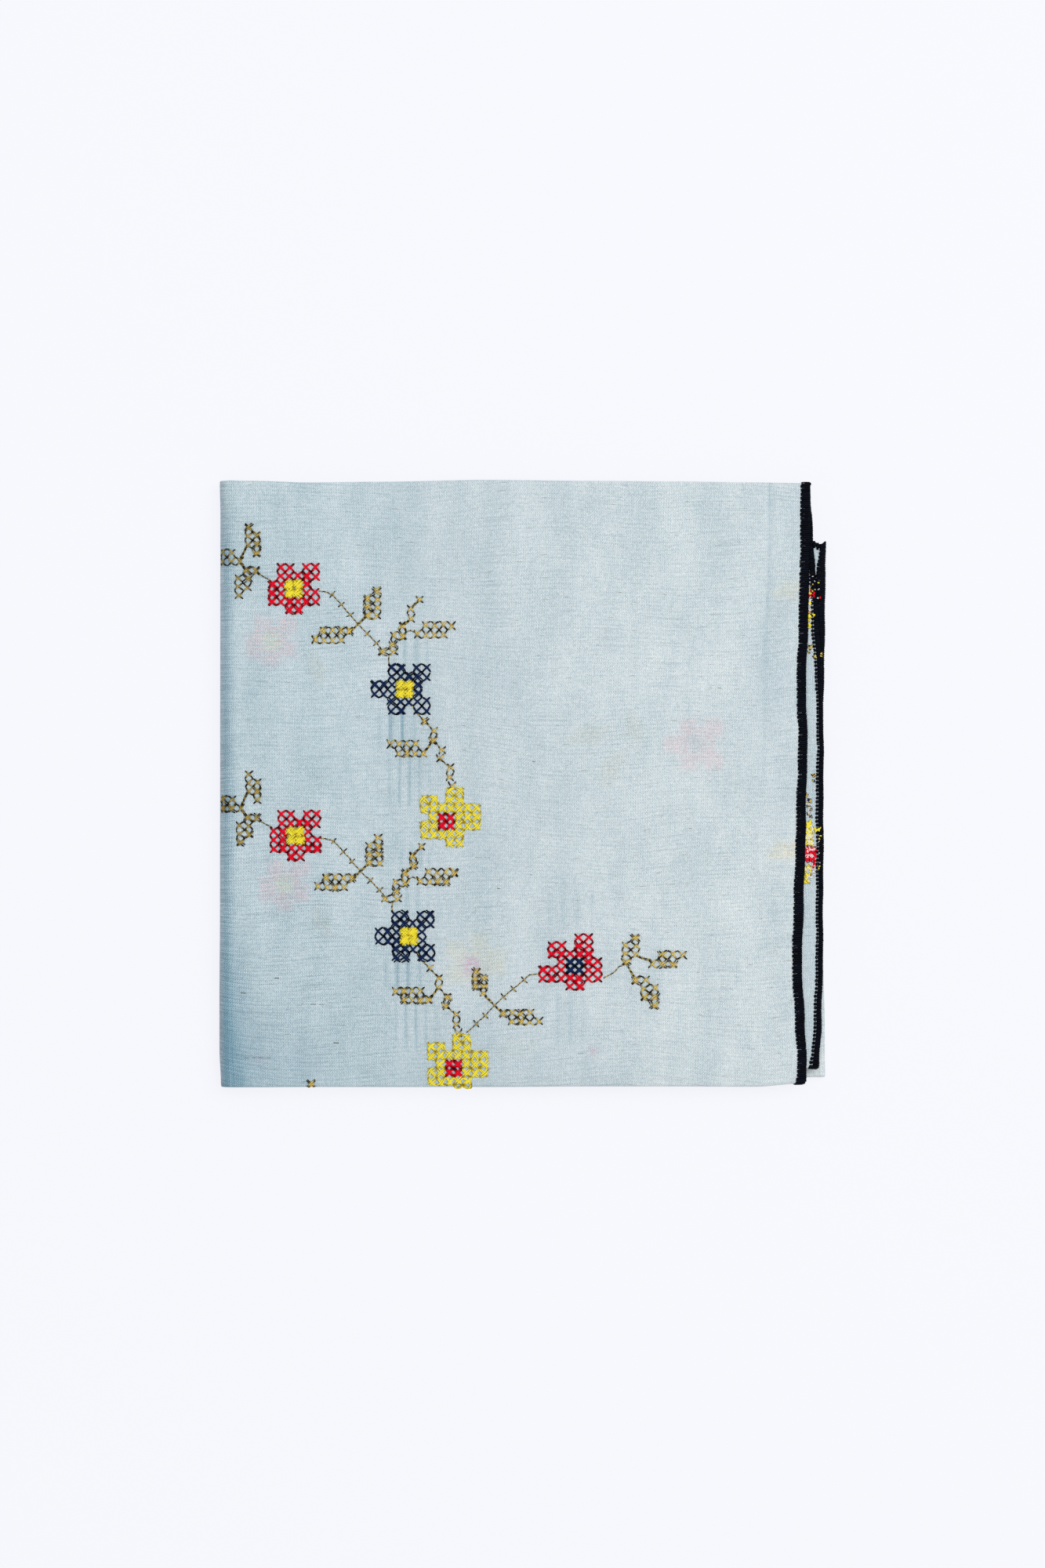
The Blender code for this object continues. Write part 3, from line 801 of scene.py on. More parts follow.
def tangle_stitches(stitches):
    chance = stitches.chance
    for tangle in TANGLES:
        width = WHITE_TANGLE_THREAD if tangle.colour == "white" else TANGLE_THREAD
        lift = TANGLE_LIFTS[tangle.colour] + OVER_BAND * tangle.over
        for _ in range(tangle.threads):
            x = chance.uniform(tangle.left, tangle.right)
            middle = np.array([x, chance.uniform(tangle.foot, tangle.top)])
            angle = chance.choice([-1, 1]) * math.radians(45) + chance.normal(0, 0.35)
            reach = tangle.length / 2 * chance.uniform(0.6, 1.15)
            step = np.array([math.cos(angle), math.sin(angle)]) * reach
            lean = chance.normal(0, 0.18, 2)
            stitches.add(tangle.colour, middle - step, middle + step, width, arch=lift,
                         leans=(step * 2 / 3 + lean, -step * 2 / 3 + lean), drop=-0.05)


# Overlock: stitches along the edge, each with two threads from one hole round the raw edge
STITCH_PITCH = 1.25
BAND_DEPTH = 2.55
RIB = table(
    "depth along lift out width", (BAND_DEPTH, 0.1, 0.1, 0, 0.48), (2.38, 0.26, 0.23, 0, 0.62),
    (2.1, 0.31, 0.27, 0, 0.7), (1.2, 0.31, 0.3, 0, 0.7), (0.25, 0.31, 0.27, 0.1, 0.7),
    (-0.17, 0.31, 0, 1, 0.68), (0.25, 0.31, -0.27, 0.1, 0.68), (1.52, 0.31, -0.28, 0, 0.66),
    (1.8, 0.16, -0.22, 0, 0.34), (2.08, 0.31, -0.24, 0, 0.66), (2.32, 0.24, -0.2, 0, 0.52),
    (BAND_DEPTH, 0.06, -0.08, 0, 0.4),
)
RIB_THICKNESS = 0.27
RIB_SLANT = 0.18
# Shade of the ribs, from 0 to 1: the mean and how much it varies
RIB_SHADE = (0.45, 0.28)
RIB_SIDES = 5

# One broad thread a stitch, for the stretches that lie between other layers
BROAD_RIB = tuple(point._replace(along=0.0, width=1.1) for point in RIB[1:-1:2] + RIB[-2:-1])
BROAD_RIB_SIDES = 4

# How deep the stitches reach from the near end, as a share, along it from the hem of layer 3
DEPTH_COLUMNS = "distance right_side wrong_side"
NEAR_END_DEPTHS = table(
    DEPTH_COLUMNS, (0, 0.62, 0.8), (3.5, 0.68, 0.8), (8, 0.88, 0.8), (12, 1.08, 0.8), (20, 1.08, 0.8),
    (160, 1, 0.8), (169.2, 1.1, 1.1), (171, 1.1, 1.15), (175, 1, 0.9), (200, 1, 0.8), (222, 1, 0.76),
    (256, 1, 0.84), (276, 1, 0.72), (288, 1, 0.64), (305, 1, 0.9), (355, 1.1, 1), (362, 1.1, 1),
    (385, 1.06, 0.8), (440, 1.03, 0.8), (480, 1.1, 0.8), (516, 1.12, 0.8), (543, 1.04, 0.8), (547, 1.2, 1.1),
    (550, 1.1, 1.1), (556, 1, 0.8), (702, 1, 0.8),
)
EVEN_DEPTHS = table(DEPTH_COLUMNS, (0, 1, 1), (1000, 1, 1))
HEM_DEPTHS = table(DEPTH_COLUMNS, (0, 0.86, 0.86), (1000, 0.86, 0.86))

# The flat bundle of looper thread under the ribs: its two sides, how thick it is and its steps
CORE_DEPTHS = (-0.02, 1.62)
CORE_THICKNESS = 0.36
CORE_STEP = 1.25
CORE_SHADE = 0.3
CORE_SIDES = 8


def piece_at(starts, distance):
    """The piece of the sheet at a distance along the flat cloth, and the share of it that is passed."""
    part = np.clip(np.searchsorted(starts, distance, side="right") - 1, 0, len(starts) - 2)
    return part, (distance - starts[part]) / (starts[part + 1] - starts[part])


def sheet_edge(is_end, is_last):
    """Finds a point of the sheet near one of its edges, from the distances along it and into the cloth.

    The edge is an end, which runs up the scarf, or else a hem. It is on the first or the last piece.
    """
    run_starts, inward_starts = (UP_STARTS, ACROSS_STARTS) if is_end else (ACROSS_STARTS, UP_STARTS)
    fixed = len(inward_starts) - 2 if is_last else 0
    length = inward_starts[fixed + 1] - inward_starts[fixed]

    def edge(distance, depth):
        run = piece_at(run_starts, distance)
        inward = (np.full(distance.shape, fixed), 1 - depth / length if is_last else depth / length)
        return sheet_point(*inward, *run) if is_end else sheet_point(*run, *inward)
    return edge


def edge_frame(edge, distance, depth):
    """A point near an edge, the way into the cloth, and the way out of its right side."""
    small = 0.05
    run = edge(distance + small, depth) - edge(distance - small, depth)
    inward = edge(distance, depth + small) - edge(distance, depth - small)
    return edge(distance, depth), inward, unit(np.cross(inward, run))


def stitch_holes(edge, length):
    """Places of the stitches along an edge. They lie closer together where the cloth turns back."""
    sample = 0.1
    distance = np.arange(0.4, length - 0.4, sample)
    longest = np.full(len(distance) - 1, sample)
    point, _, normal = edge_frame(edge, distance, np.full(distance.shape, 0.8))
    for lift in (-0.4, 0.4):
        outside = point + normal * lift
        longest = np.maximum(longest, np.linalg.norm(np.diff(outside, axis=0), axis=-1))
    passed = np.concatenate([[0], np.cumsum(longest)])
    return np.interp(np.arange(0, passed[-1], STITCH_PITCH), passed, distance)


def overlock_routes(edge, length, rib, both_sides, seed, depths):
    """Routes of the looping threads round an edge, with their outward directions and widths."""
    chance = np.random.default_rng(seed)
    holes = stitch_holes(edge, length)
    sides = (-1, 1) if both_sides else (0,)
    rib_depth, rib_along, rib_lift, rib_out, rib_width = np.array(rib).T[:, None]
    turn = np.repeat(sides, len(holes))[:, None]
    base = np.tile(holes, len(sides))
    base = base + chance.normal(0, 0.03, len(base))
    wander = np.tile(chance.normal(0, 0.07, len(holes)), len(sides))[:, None]
    depth = rib_depth + wander * eased(0.2, BAND_DEPTH, rib_depth)
    depth = depth + chance.normal(0, 0.02, (len(base), 1))
    shares = [read_table(depths, side, base)[:, None] for side in ("right_side", "wrong_side")]
    depth = depth * np.where(rib_lift >= 0, *shares)
    along = base[:, None] + turn * rib_along
    along = along + RIB_SLANT * (depth / BAND_DEPTH - 0.5) * np.sign(rib_lift)
    point, inward, normal = edge_frame(edge, along, depth)
    lift, out = rib_lift[..., None], rib_out[..., None]
    ups = unit(normal * np.sign(lift) * (1 - out) - unit(inward) * out)
    return point + normal * lift, ups, rib_width * chance.uniform(0.93, 1.05, (len(base), 1))


def join(pieces, name):
    """Joins pieces of one kind into the first of them."""
    with bpy.context.temp_override(active_object=pieces[0], selected_editable_objects=pieces):
        bpy.ops.object.join()
    pieces[0].name = name
    return pieces[0]


def overlock_piece(name, edge, length, both_sides, seed, depths, rib=BROAD_RIB, sides=BROAD_RIB_SIDES):
    """The looping threads of one edge, and the looper thread that they lie on, as one piece."""
    points, ups, widths = overlock_routes(edge, length, rib, both_sides, seed, depths)
    chance = np.random.default_rng(seed + 50)
    shades = np.clip(chance.normal(*RIB_SHADE, (len(points), 1)) + 0 * widths, 0, 1)
    ribs = tube_piece(name, points, ups, widths, np.full(widths.shape, RIB_THICKNESS), shades, sides)
    distance = np.arange(0.2, length - 0.1, CORE_STEP)[None]
    share = np.minimum(read_table(depths, "right_side", distance), read_table(depths, "wrong_side", distance))
    low, high = CORE_DEPTHS[0], CORE_DEPTHS[1] * share
    point, _, normal = edge_frame(edge, distance, (low + high) / 2)
    core = tube_piece(name + "_core", point, normal, high - low, np.full(distance.shape, CORE_THICKNESS),
                      np.full(distance.shape, CORE_SHADE), CORE_SIDES)
    return join([ribs, core], name)


# Flowers of the layer below that show faintly through the cloth: the middle of each, its colours
# and how strongly it shows
PINK = (1.20, 0.85, 0.86)
CREAM = (1.18, 1.01, 0.76)
LEMON = (1.11, 0.98, 0.80)
ROSE = (1.10, 0.62, 0.73)
SHADED = (0.92, 0.82, 0.83)
KHAKI = (0.97, 0.92, 0.84)
GHOSTS = table(
    "chart x y petal centre strength", (RED_CHART, -78.6, 44.6, PINK, CREAM, 0.5),
    (RED_CHART, -74.4, -31.6, PINK, CREAM, 0.52), (YELLOW_CHART, -14.7, -55.6, LEMON, ROSE, 0.5),
    (NAVY_CHART, 53.4, 12.4, PINK, SHADED, 0.45), (LEAF_RISING, 20.8, 15.4, KHAKI, KHAKI, 0.5),
    (LEAF_UP, 34.9, 17.5, KHAKI, KHAKI, 0.45), (LEAF_STEPPED, 28.8, 4.4, KHAKI, KHAKI, 0.5),
    (LEAF_RISING, 83, -20.6, LEMON, LEMON, 0.75), (LEAF_RISING, 84.5, 60.8, LEMON, LEMON, 0.5),
    (SINGLE, 22.1, -83.3, ROSE, ROSE, 0.4), (LEAF_UP, -64.5, 36.3, KHAKI, KHAKI, 0.5),
    (LEAF_UP, -63, -43, KHAKI, KHAKI, 0.5), (SINGLE, -82, -86, ROSE, ROSE, 0.25),
    (LEAF_RISING, -2, -82.5, KHAKI, KHAKI, 0.25),
)
GHOST_CROSS = 2.6
GHOST_BLUR = 1.5


def ghost_tint(x, y):
    """The faint flowers of the layer below, as a colour to multiply the top layer by."""
    tint = np.ones(x.shape + (3,))
    for ghost in GHOSTS:
        covers = {"petal": np.zeros(x.shape), "centre": np.zeros(x.shape)}
        for row, column, letter in cells(ghost.chart):
            cell_x = ghost.x + (column + 0.5 - len(ghost.chart[0]) / 2) * GHOST_CROSS
            cell_y = ghost.y - (row + 0.5 - len(ghost.chart) / 2) * GHOST_CROSS
            spot = np.exp(-((x - cell_x) ** 2 + (y - cell_y) ** 2) / GHOST_BLUR ** 2)
            covers["centre" if letter == "C" else "petal"] += spot
        for kind, cover in covers.items():
            share = (np.clip(cover, 0, 1) * ghost.strength)[..., None]
            tint = tint * (1 - share) + tint * np.array(getattr(ghost, kind)) * share
    return tint


# Painted shade of the round fold: how much darker it is drawn, by the distance in from the outline
FOLD_SHADES = table(
    "inward top middle low", (0, 0.25, 0.27, 0.38), (0.75, 0.19, 0.26, 0.43), (1.5, 0.12, 0.36, 0.5),
    (2.5, 0.09, 0.32, 0.52), (3.2, 0.11, 0.23, 0.42), (3.95, 0.09, 0.14, 0.25), (4.9, 0.08, 0.06, 0.19),
    (5.9, 0.05, 0, 0.18), (7, 0.02, 0, 0.16), (8.4, 0, 0, 0.07), (11, 0, 0, 0.03), (15, 0, 0, 0),
)

# Broad painted shade of the top layer, painted light where negative: how much darker, and the x and the y
# between which each comes in
ANYWHERE = (-1000, -999)
BROAD_PAINTED_SHADES = table(
    "darker x y", (0.088, (-18, -72), ANYWHERE), (0.085, (-35, -85), (-45, -94)),
    (0.015, (-10, -60), (10, -30)), (-0.05, (-60, -85), (60, 90)), (0.045, (55, 15), (-66, -94)),
)
# Painted shade on the hidden layers between the bands, and painted light on the plain fold
HIDDEN_LAYER_PAINTED_SHADE = 0.10
PLAIN_FOLD_PAINTED_LIGHT = -0.03
FREE_EDGES_X = 80
# How much of a shade goes to blue, and to red away from the outline. Red falls off most.
BLUE_IN_SHADE = 0.80
RED_IN_SHADE = 1.36


def cloth_tint_and_painted_shade(across_part, up_part, points):
    """Colour of the voile relative to its own pale blue, with its painted shade and painted light, at each
    point of the sheet.

    Also how strongly weft streaks show there, and the colour of the flowers that shine through.
    """
    x, y = points[..., 0], points[..., 1]
    in_top_quarter = across_part == TOP_QUARTER
    on_top = in_top_quarter & ((up_part == LAYER_1) | (up_part == FOOT_FOLD) | (up_part == TOP_FOLD))
    on_round = across_part == ROUND_FOLD
    under_round = on_round & (points[..., 2] < PACKET_HEIGHT / 2)
    inward = np.where(under_round, 0, x - LEFT_FOLD_X)
    # Painted shade of the round fold and of the strip beside it
    top_shade, middle_shade, low_shade = [
        read_table(FOLD_SHADES, column, inward) for column in ("top", "middle", "low")
    ]
    shade = blend(middle_shade, top_shade, eased(70, 92, y))
    shade = blend(shade, low_shade, eased(-28, -84, y))
    shade = np.where(on_top | on_round, shade, 0)
    # Painted shade and light of the top layer: the broad table, a band across the middle, a patch by the
    # crease and the valleys of the puckers
    dark = sum(tone.darker * eased(*tone.x, x) * eased(*tone.y, y) for tone in BROAD_PAINTED_SHADES)
    middle = eased(-52, -34, x) * (0.080 - 0.065 * eased(-36, 52, x))
    middle = middle + 0.02 * eased(62, 76, x)
    dark = dark + middle * (1 - eased(15, 55, x) * eased(0, -35, y))
    dark = dark + 0.035 * hill(x, 80, 7) * hill(y, 30, 16) + relief_shade(x, y)
    dark = np.where(on_top, dark, 0)
    # Painted shade on the layers under the top one at the free edges, seen between the bands
    hidden_layer = (up_part < LAYER_1) & in_top_quarter & (x > FREE_EDGES_X)
    dark = np.where(hidden_layer, HIDDEN_LAYER_PAINTED_SHADE, dark) + shade
    # Painted light: the plain fold is drawn a little paler
    plain_fold = (across_part == PLAIN_FOLD) | ((across_part == THIRD_QUARTER) & (x > FREE_EDGES_X))
    dark = np.where(plain_fold, PLAIN_FOLD_PAINTED_LIGHT, dark)
    red = RED_IN_SHADE - 0.29 * hill(inward, 0, 0.9)
    in_shade = np.stack([red, np.ones(red.shape), np.full(red.shape, BLUE_IN_SHADE)], -1)
    tint = 1 - np.clip(dark, -0.1, 0.9)[..., None] * in_shade
    tint[..., 0] *= 1 - 0.030 * eased(-20, -65, x)
    tint[..., 2] *= 1 + 0.012 * eased(-20, -65, x)
    # A faint darker line along the inner foot fold beneath the top layer
    inner_foot_y = read_table(FOLD_LINES, "inner_foot", x)
    inner_foot_line = np.where(on_top, hill(y, inner_foot_y, 0.5) * eased(-40, 0, x) * 0.05, 0)
    streaks = eased(0, 0.3, shade) + eased(-15, -75, x) * (0.3 + 0.3 * eased(20, -60, y))
    streaks = np.where(on_top | on_round, streaks * np.where(under_round, 0.45, 1.0), 0)
    ghosts = np.where(on_top[..., None], ghost_tint(x, y), 1.0)
    return tint * (1 - inner_foot_line[..., None]), ghosts, streaks


def build_cloth():
    across_part, across_share, across_distance = grid_lines(ACROSS_STEPS, ACROSS_STARTS)
    up_part, up_share, up_distance = grid_lines(UP_STEPS, UP_STARTS)
    shape = (len(up_part), len(across_part))
    across_part, across_share = [np.broadcast_to(values, shape) for values in (across_part, across_share)]
    up_part, up_share = [np.broadcast_to(values[:, None], shape) for values in (up_part, up_share)]
    points = sheet_point(across_part, across_share, up_part, up_share)
    index = np.arange(points[..., 0].size).reshape(shape)
    faces = np.stack([index[:-1, :-1], index[1:, :-1], index[1:, 1:], index[:-1, 1:]], -1).reshape(-1, 4)
    cloth = new_piece("cloth_sheet", points.reshape(-1, 3), faces.tolist())
    flat = np.zeros(points.shape)
    flat[..., 0] = across_distance[None]
    flat[..., 1] = up_distance[:, None] - weave_drift(points[..., 0], points[..., 1])
    add_attribute(cloth, "flat_place", "FLOAT_VECTOR", flat)
    # The tint attribute carries the cloth's painted shade and light along with its colour changes
    tint, ghosts, streaks = cloth_tint_and_painted_shade(across_part, up_part, points)
    for name, colour in (("tint", tint), ("ghosts", ghosts)):
        add_attribute(cloth, name, "FLOAT_COLOR", np.concatenate([colour, np.ones(shape + (1,))], -1))
    add_attribute(cloth, "streaks", "FLOAT", streaks)
    return cloth


class Nodes:
    """Short calls for a material's nodes."""

    def __init__(self, name):
        self.material = bpy.data.materials.new(name)
        self.material.use_nodes = True
        self.tree = self.material.node_tree
        self.shader = self.tree.nodes["Principled BSDF"]

    def add(self, kind, inputs, output=0, **settings):
        """A new node with these inputs and settings. Returns one of its outputs."""
        node = self.tree.nodes.new("ShaderNode" + kind)
        for key, value in settings.items():
            setattr(node, key, value)
        self.connect(node, inputs)
        return node.outputs[output]

    def connect(self, node, inputs):
        """Links or sets inputs of a node."""
        for key, value in inputs.items():
            if isinstance(value, bpy.types.NodeSocket):
                self.tree.links.new(value, node.inputs[key])
            else:
                node.inputs[key].default_value = value

    def finish(self, inputs):
        self.connect(self.shader, inputs)
        return self.material

    def attribute(self, name, output):
        return self.add("Attribute", {}, output, attribute_name=name)

    def maths(self, operation, first, second=0.0, third=0.0):
        return self.add("Math", {0: first, 1: second, 2: third}, operation=operation)

    def times(self, first, second):
        return self.maths("MULTIPLY", first, second)

    def layer(self, value, weight, below):
        """The value, weighted, on top of what is below."""
        return self.maths("MULTIPLY_ADD", value, weight, below)

    def stretched(self, place, scale):
        return self.add("VectorMath", {0: place, 1: scale}, operation="MULTIPLY")

    def noise(self, place, scale, detail=2.0, roughness=0.5, output="Fac"):
        return self.add("TexNoise", {"Vector": self.stretched(place, scale), "Scale": 1.0, "Detail": detail,
                                     "Roughness": roughness}, output)

    def mix(self, share, first, second, mode="MIX"):
        return self.add("Mix", {0: share, 6: first, 7: second}, 2, data_type="RGBA", blend_type=mode,
                        clamp_factor=False)

    def wave(self, value, pitch):
        return self.maths("SINE", self.times(value, 2 * math.pi / pitch))

    def ramp(self, value, low, high):
        return self.add("MapRange", {"Value": value, "From Min": low, "From Max": high})

    def bump(self, height, strength, distance):
        return self.add("Bump", {"Height": height, "Strength": strength, "Distance": distance})


VOILE_DEEP = (0.302, 0.434, 0.486, 1)
VOILE_PALE = (0.856, 0.886, 0.886, 1)
STREAK_DARK = (0.13, 0.22, 0.28, 1)
SLUB_DARK = (0.24, 0.22, 0.19, 1)
# Distances between the ridges of the weave that show, and the size of its finest specks
WARP_PITCH = 0.70
WEFT_PITCH = 1.30
CROSSING_PITCH = 0.85
FINE_PITCH = 0.65
SPECK_SIZE = 0.28
# The middle of all the layers of tone together, and how far from it the cloth is deepest and palest
MIDDLE_TONE = 0.725
TONE_SPREAD = 0.54
WEAVE_RELIEF = 0.00009


def voile_material():
    """Pale blue slubby plain weave. Its place attribute is the distance along the flat cloth, in mm."""
    n = Nodes("voile")
    place = n.attribute("flat_place", "Vector")
    streaked = n.attribute("streaks", "Fac")
    clouds = n.noise(place, (0.085, 0.028, 1), detail=3.0, roughness=0.55)
    patches = n.noise(place, (0.30, 0.13, 1))
    weft = n.noise(place, (0.17, 2.0, 1), detail=3.0, roughness=0.7)
    warp = n.noise(place, (2.3, 0.11, 1), roughness=0.6)
    specks = n.stretched(place, (1 / SPECK_SIZE, 1 / SPECK_SIZE, 1))
    speck = n.add("VectorMath", {0: specks}, operation="FLOOR")
    grain = n.add("TexWhiteNoise", {"Vector": speck}, noise_dimensions="2D")
    tone = -0.02
    for layer, weight in ((clouds, 0.58), (patches, 0.08), (weft, 0.34), (warp, 0.16), (grain, 0.42)):
        tone = n.layer(layer, weight, tone)

    drift = n.noise(place, (0.045, 0.045, 1), detail=1.0, output="Color")
    bent = n.add("VectorMath", {0: drift, 1: (3.2, 2.4, 0), 2: place}, operation="MULTIPLY_ADD")
    across, up = n.add("SeparateXYZ", {0: bent}).node.outputs[:2]
    warp_ridge = n.wave(across, WARP_PITCH)
    crossing = n.times(warp_ridge, n.wave(up, CROSSING_PITCH))
    fine_ridge = n.times(n.wave(up, FINE_PITCH), streaked)
    ridges = n.times(n.wave(up, WEFT_PITCH), 0.045)
    for layer, weight in ((warp_ridge, 0.10), (fine_ridge, 0.05), (crossing, 0.24)):
        ridges = n.layer(layer, weight, ridges)
    uneven = n.layer(n.noise(place, (0.55, 0.40, 1), detail=3.0, roughness=0.7), 3.6, -0.9)
    ridges = n.times(ridges, n.layer(streaked, 0.5, uneven))
    tone = n.maths("SUBTRACT", n.maths("ADD", tone, ridges), MIDDLE_TONE)
    tone = n.times(tone, n.layer(streaked, 0.25, 1.0))
    colour = n.mix(n.ramp(tone, -TONE_SPREAD, TONE_SPREAD), VOILE_DEEP, VOILE_PALE)

    slubs = n.times(n.ramp(n.noise(place, (0.24, 2.7, 1), detail=1.0), 0.69, 0.75), 0.55)
    colour = n.mix(slubs, colour, SLUB_DARK)
    # The tint attribute brings in the painted shade and light of the sheet
    colour = n.mix(1.0, colour, n.attribute("tint", "Color"), "MULTIPLY")
    wisps = n.times(n.ramp(n.noise(place, (0.5, 1.2, 1), detail=3.0, roughness=0.7), 0.34, 0.58), 1.5)
    colour = n.mix(wisps, colour, n.mix(1.0, colour, n.attribute("ghosts", "Color"), "MULTIPLY"))
    streaks = n.times(n.ramp(n.noise(place, (0.11, 1.9, 1), detail=1.0, roughness=0.6), 0.47, 0.62), streaked)
    colour = n.mix(n.times(streaks, 0.22), colour, STREAK_DARK)
    lines = n.ramp(n.noise(place, (0.055, 2.8, 1), detail=0.0), 0.60, 0.72)
    colour = n.mix(n.times(lines, n.layer(streaked, 0.14, 0.15)), colour, STREAK_DARK)
    height = n.layer(warp, 0.8, n.layer(weft, 2.0, n.times(ridges, 0.8)))
    return n.finish({
        "Base Color": colour, "Normal": n.bump(height, 0.40, WEAVE_RELIEF), "Roughness": 0.88,
        "Specular IOR Level": 0.22, "Sheen Weight": 0.12, "Sheen Roughness": 0.5,
    })


def thread_material(name, dark, bright, roughness, twist_pitch, twist_depth, side_shade, fade):
    """Twisted thread, with painted shade at the ends of a stitch, painted light along its arch and painted
    shade down its sides.
    """
    n = Nodes(name)
    place = n.attribute("thread_place", "Vector")
    uneven = n.noise(place, (2.6, 0.5, 0.5))
    # Painted shade at the ends of a stitch and painted light along its arch, from the shade attribute
    share = n.layer(uneven, 0.6, n.layer(n.attribute("shade", "Fac"), 1.05, -0.32))
    share = n.maths("POWER", n.add("Clamp", {0: share}), fade)
    along, round_side, up_side = n.add("SeparateXYZ", {0: place}).node.outputs
    # Painted highlight along the top of the thread and painted shade down its sides
    painted_side_shade = n.layer(up_side, side_shade, 1 - side_shade)
    painted_side_grey = n.add("CombineColor", {0: painted_side_shade, 1: painted_side_shade, 2: painted_side_shade})
    turn = n.times(along, 2 * math.pi / twist_pitch)
    twist = n.times(n.maths("SINE", turn), round_side)
    twist = n.maths("ADD", twist, n.times(n.maths("COSINE", turn), up_side))
    return n.finish({
        "Base Color": n.mix(1.0, n.mix(share, dark, bright), painted_side_grey, "MULTIPLY"),
        "Normal": n.bump(twist, 0.6, twist_depth), "Roughness": roughness, "Specular IOR Level": 0.07,
    })


# The colour of each thread in the painted shade at the ends of a stitch and in the painted light along
# its arch, how much darker its sides are painted, how fast it fades to the shaded end, and its slot
THREADS = dict(zip(COLOURS, table(
    "dark bright side_shade fade slot",
    ((0.070, 0.0006, 0.003, 1), (0.93, 0.002, 0.023, 1), 0.40, 1.4, "embroidery_red"),
    ((0.38, 0.26, 0.008, 1), (1.0, 0.85, 0.050, 1), 0.26, 1.1, "embroidery_yellow"),
    ((0.0010, 0.0015, 0.005, 1), (0.006, 0.022, 0.092, 1), 0.50, 1.5, "embroidery_navy"),
    ((0.010, 0.0058, 0.0010, 1), (0.88, 0.64, 0.150, 1), 0.62, 2.2, "embroidery_gold"),
    ((0.55, 0.55, 0.55, 1), (0.90, 0.89, 0.88, 1), 0.22, 1.0, "bobbin_thread"),
)))
# Navy of the overlock thread in painted shade and in painted light, mixed by each rib's shade
OVERLOCK_DARK = (0.0005, 0.0010, 0.0040, 1)
OVERLOCK_BRIGHT = (0.0020, 0.0036, 0.0105, 1)

FLOOR_SIZE = 2500.0
FLOOR_GREY = (0.13, 0.13, 0.13, 1)
FLOOR_GLOW = (0.803, 0.810, 0.852, 1)


def build_floor():
    corners = [(x * FLOOR_SIZE, y * FLOOR_SIZE, 0) for x, y in ((-1, -1), (1, -1), (1, 1), (-1, 1))]
    floor = new_piece("floor", corners, [(0, 1, 2, 3)], smooth=False)
    floor.data.materials.append(Nodes("pale_floor").finish({
        "Base Color": FLOOR_GREY, "Emission Color": FLOOR_GLOW, "Emission Strength": 1.0, "Roughness": 1.0,
        "Specular IOR Level": 0.0,
    }))


def area_light(name, place, size, energy):
    """A square light that looks at the middle of the scene."""
    light = new_object(name, bpy.data.lights.new(name, "AREA"), shape="SQUARE", size=size, energy=energy)
    light.location = place
    x, y, z = place
    light.rotation_euler = (math.atan2(math.hypot(x, y), z), 0, math.atan2(-y, -x) - math.pi / 2)


WORLD_COLOUR = (0.97, 0.98, 1.0, 1)
WORLD_STRENGTH = 0.55
LIGHTS = (("key", (0.75, 0.45, 1.15), 0.8, 5.0), ("overhead", (0.1, 0.2, 1.5), 1.2, 8.5))


def build_light():
    scene = bpy.context.scene
    scene.view_settings.view_transform = "Standard"
    scene.world = bpy.data.worlds.new("studio")
    scene.world.use_nodes = True
    background = scene.world.node_tree.nodes["Background"]
    background.inputs["Color"].default_value = WORLD_COLOUR
    background.inputs["Strength"].default_value = WORLD_STRENGTH
    for light in LIGHTS:
        area_light(*light)


# Metres of the scene that the photo's height shows, and millimetres of the lens and the sensor
PHOTO_HEIGHT = 0.490
LENS = 100.0
SENSOR = 36.0


def build_camera():
    camera = new_object("camera", bpy.data.cameras.new("camera"), sensor_fit="VERTICAL", sensor_height=SENSOR,
                        lens=LENS, clip_end=20)
    camera.location = (0, 0, PHOTO_HEIGHT * LENS / SENSOR + PACKET_HEIGHT * MM)
    bpy.context.scene.camera = camera


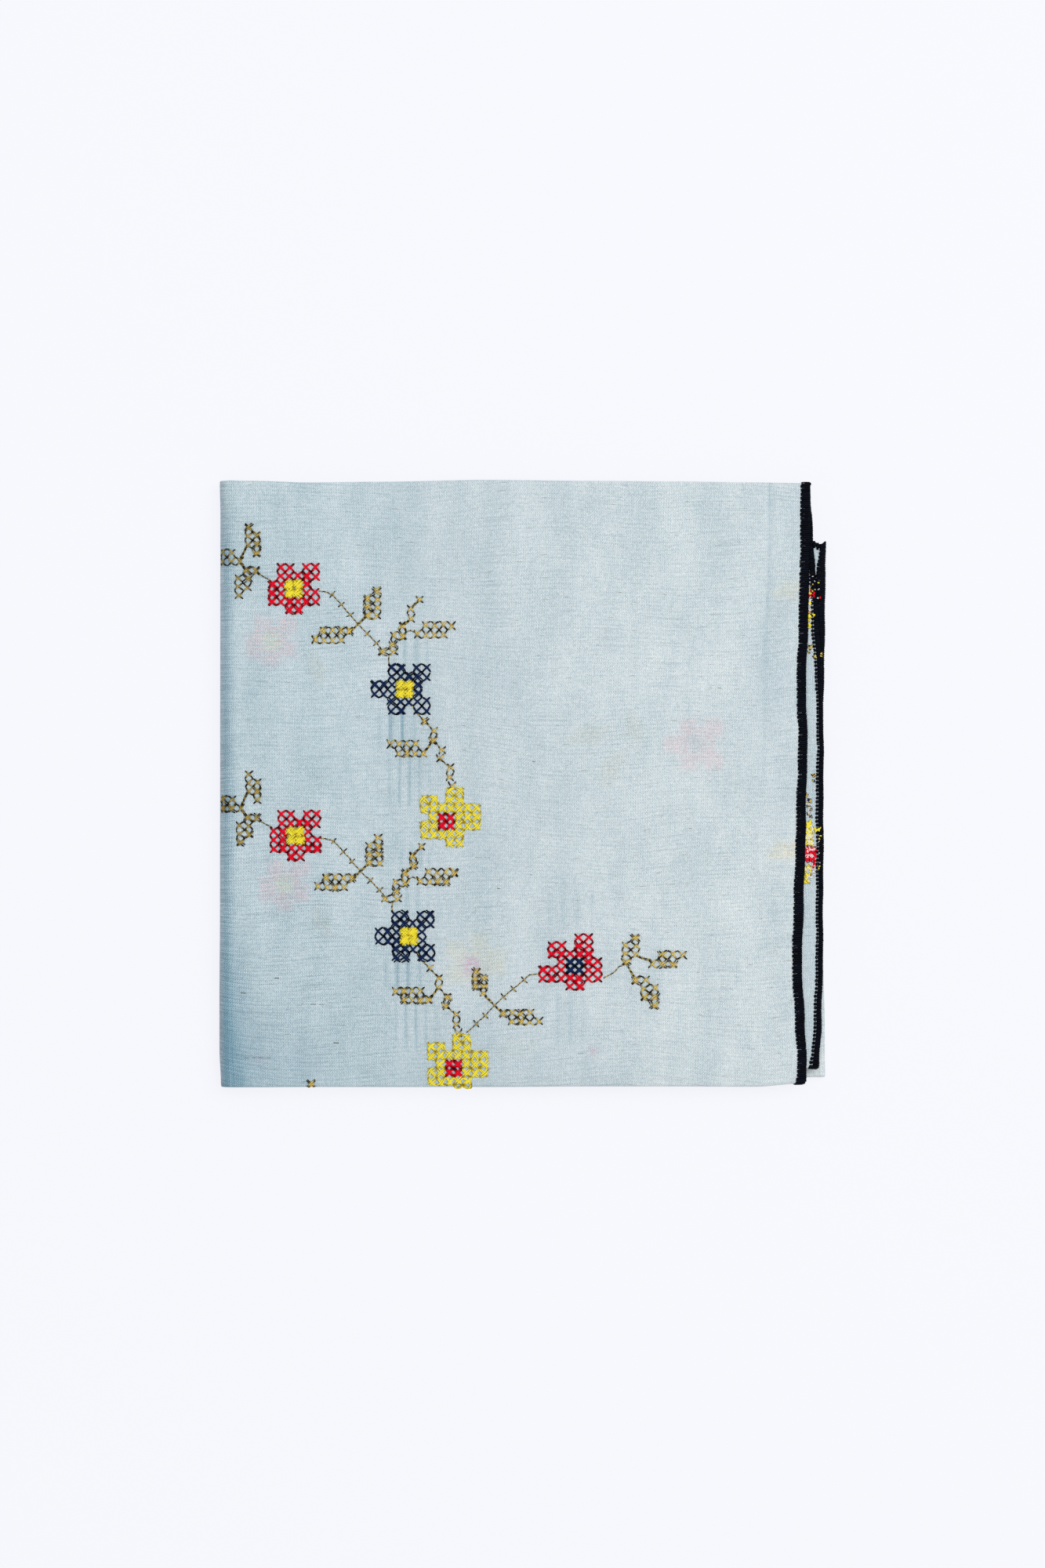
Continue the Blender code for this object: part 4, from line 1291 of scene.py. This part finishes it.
def finish_piece(piece, material, slot):
    piece.data.materials.clear()
    piece.data.materials.append(material)
    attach(piece, "root")


def build_overlock():
    """The overlocked edges: the near end, the far end and the hems of layers 3 and 4."""
    up_length, across_length = UP_STARTS[-1], ACROSS_STARTS[-1]
    material = thread_material("overlock_thread", OVERLOCK_DARK, OVERLOCK_BRIGHT, roughness=0.5,
                               twist_pitch=0.5, twist_depth=0.00004, side_shade=0.22, fade=1.0)
    near = overlock_piece("overlock_near_end", sheet_edge(True, True), up_length, True, 11, NEAR_END_DEPTHS,
                          RIB, RIB_SIDES)
    far = overlock_piece("overlock_far_end", sheet_edge(True, False), up_length, False, 12, EVEN_DEPTHS)
    hem_3 = overlock_piece("overlock_hem_3", sheet_edge(False, False), across_length, False, 13, HEM_DEPTHS)
    hem_4 = overlock_piece("overlock_hem_4", sheet_edge(False, True), across_length, False, 14, HEM_DEPTHS)
    pieces = [near, far, hem_3, hem_4]
    for piece in pieces:
        finish_piece(piece, material, "overlock_thread")
    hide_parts("edging_near_end")
    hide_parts("edging_far_end")
    return pieces


def build_embroidery():
    """The cross-stitch on the top layer, and the thread that shows between the two bands."""
    top = Stitches(3)
    embroider(top, stay, GARLAND, GARLAND_STEMS, GARLAND_CROSSES)
    embroider(top, one_repeat_lower, GARLAND, GARLAND_STEMS, GARLAND_CROSSES)
    slub_threads(top)
    embroider(top, stay, SPRAY, SPRAY_STEMS)
    gap = Stitches(4)
    tangle_stitches(gap)
    pieces = stitched_pieces([(top, top_face), (gap, second_layer_face)])
    for colour, piece in pieces.items():
        thread = THREADS[colour]
        material = thread_material("thread_" + colour, thread.dark, thread.bright, roughness=0.42,
                                   twist_pitch=0.7, twist_depth=0.00003, side_shade=thread.side_shade,
                                   fade=thread.fade)
        finish_piece(piece, material, thread.slot)
    return list(pieces.values())


build_camera()
build_light()
build_floor()
cloth = build_cloth()
finish_piece(cloth, voile_material(), "voile")
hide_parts("cloth")
thread_pieces = build_overlock() + build_embroidery()
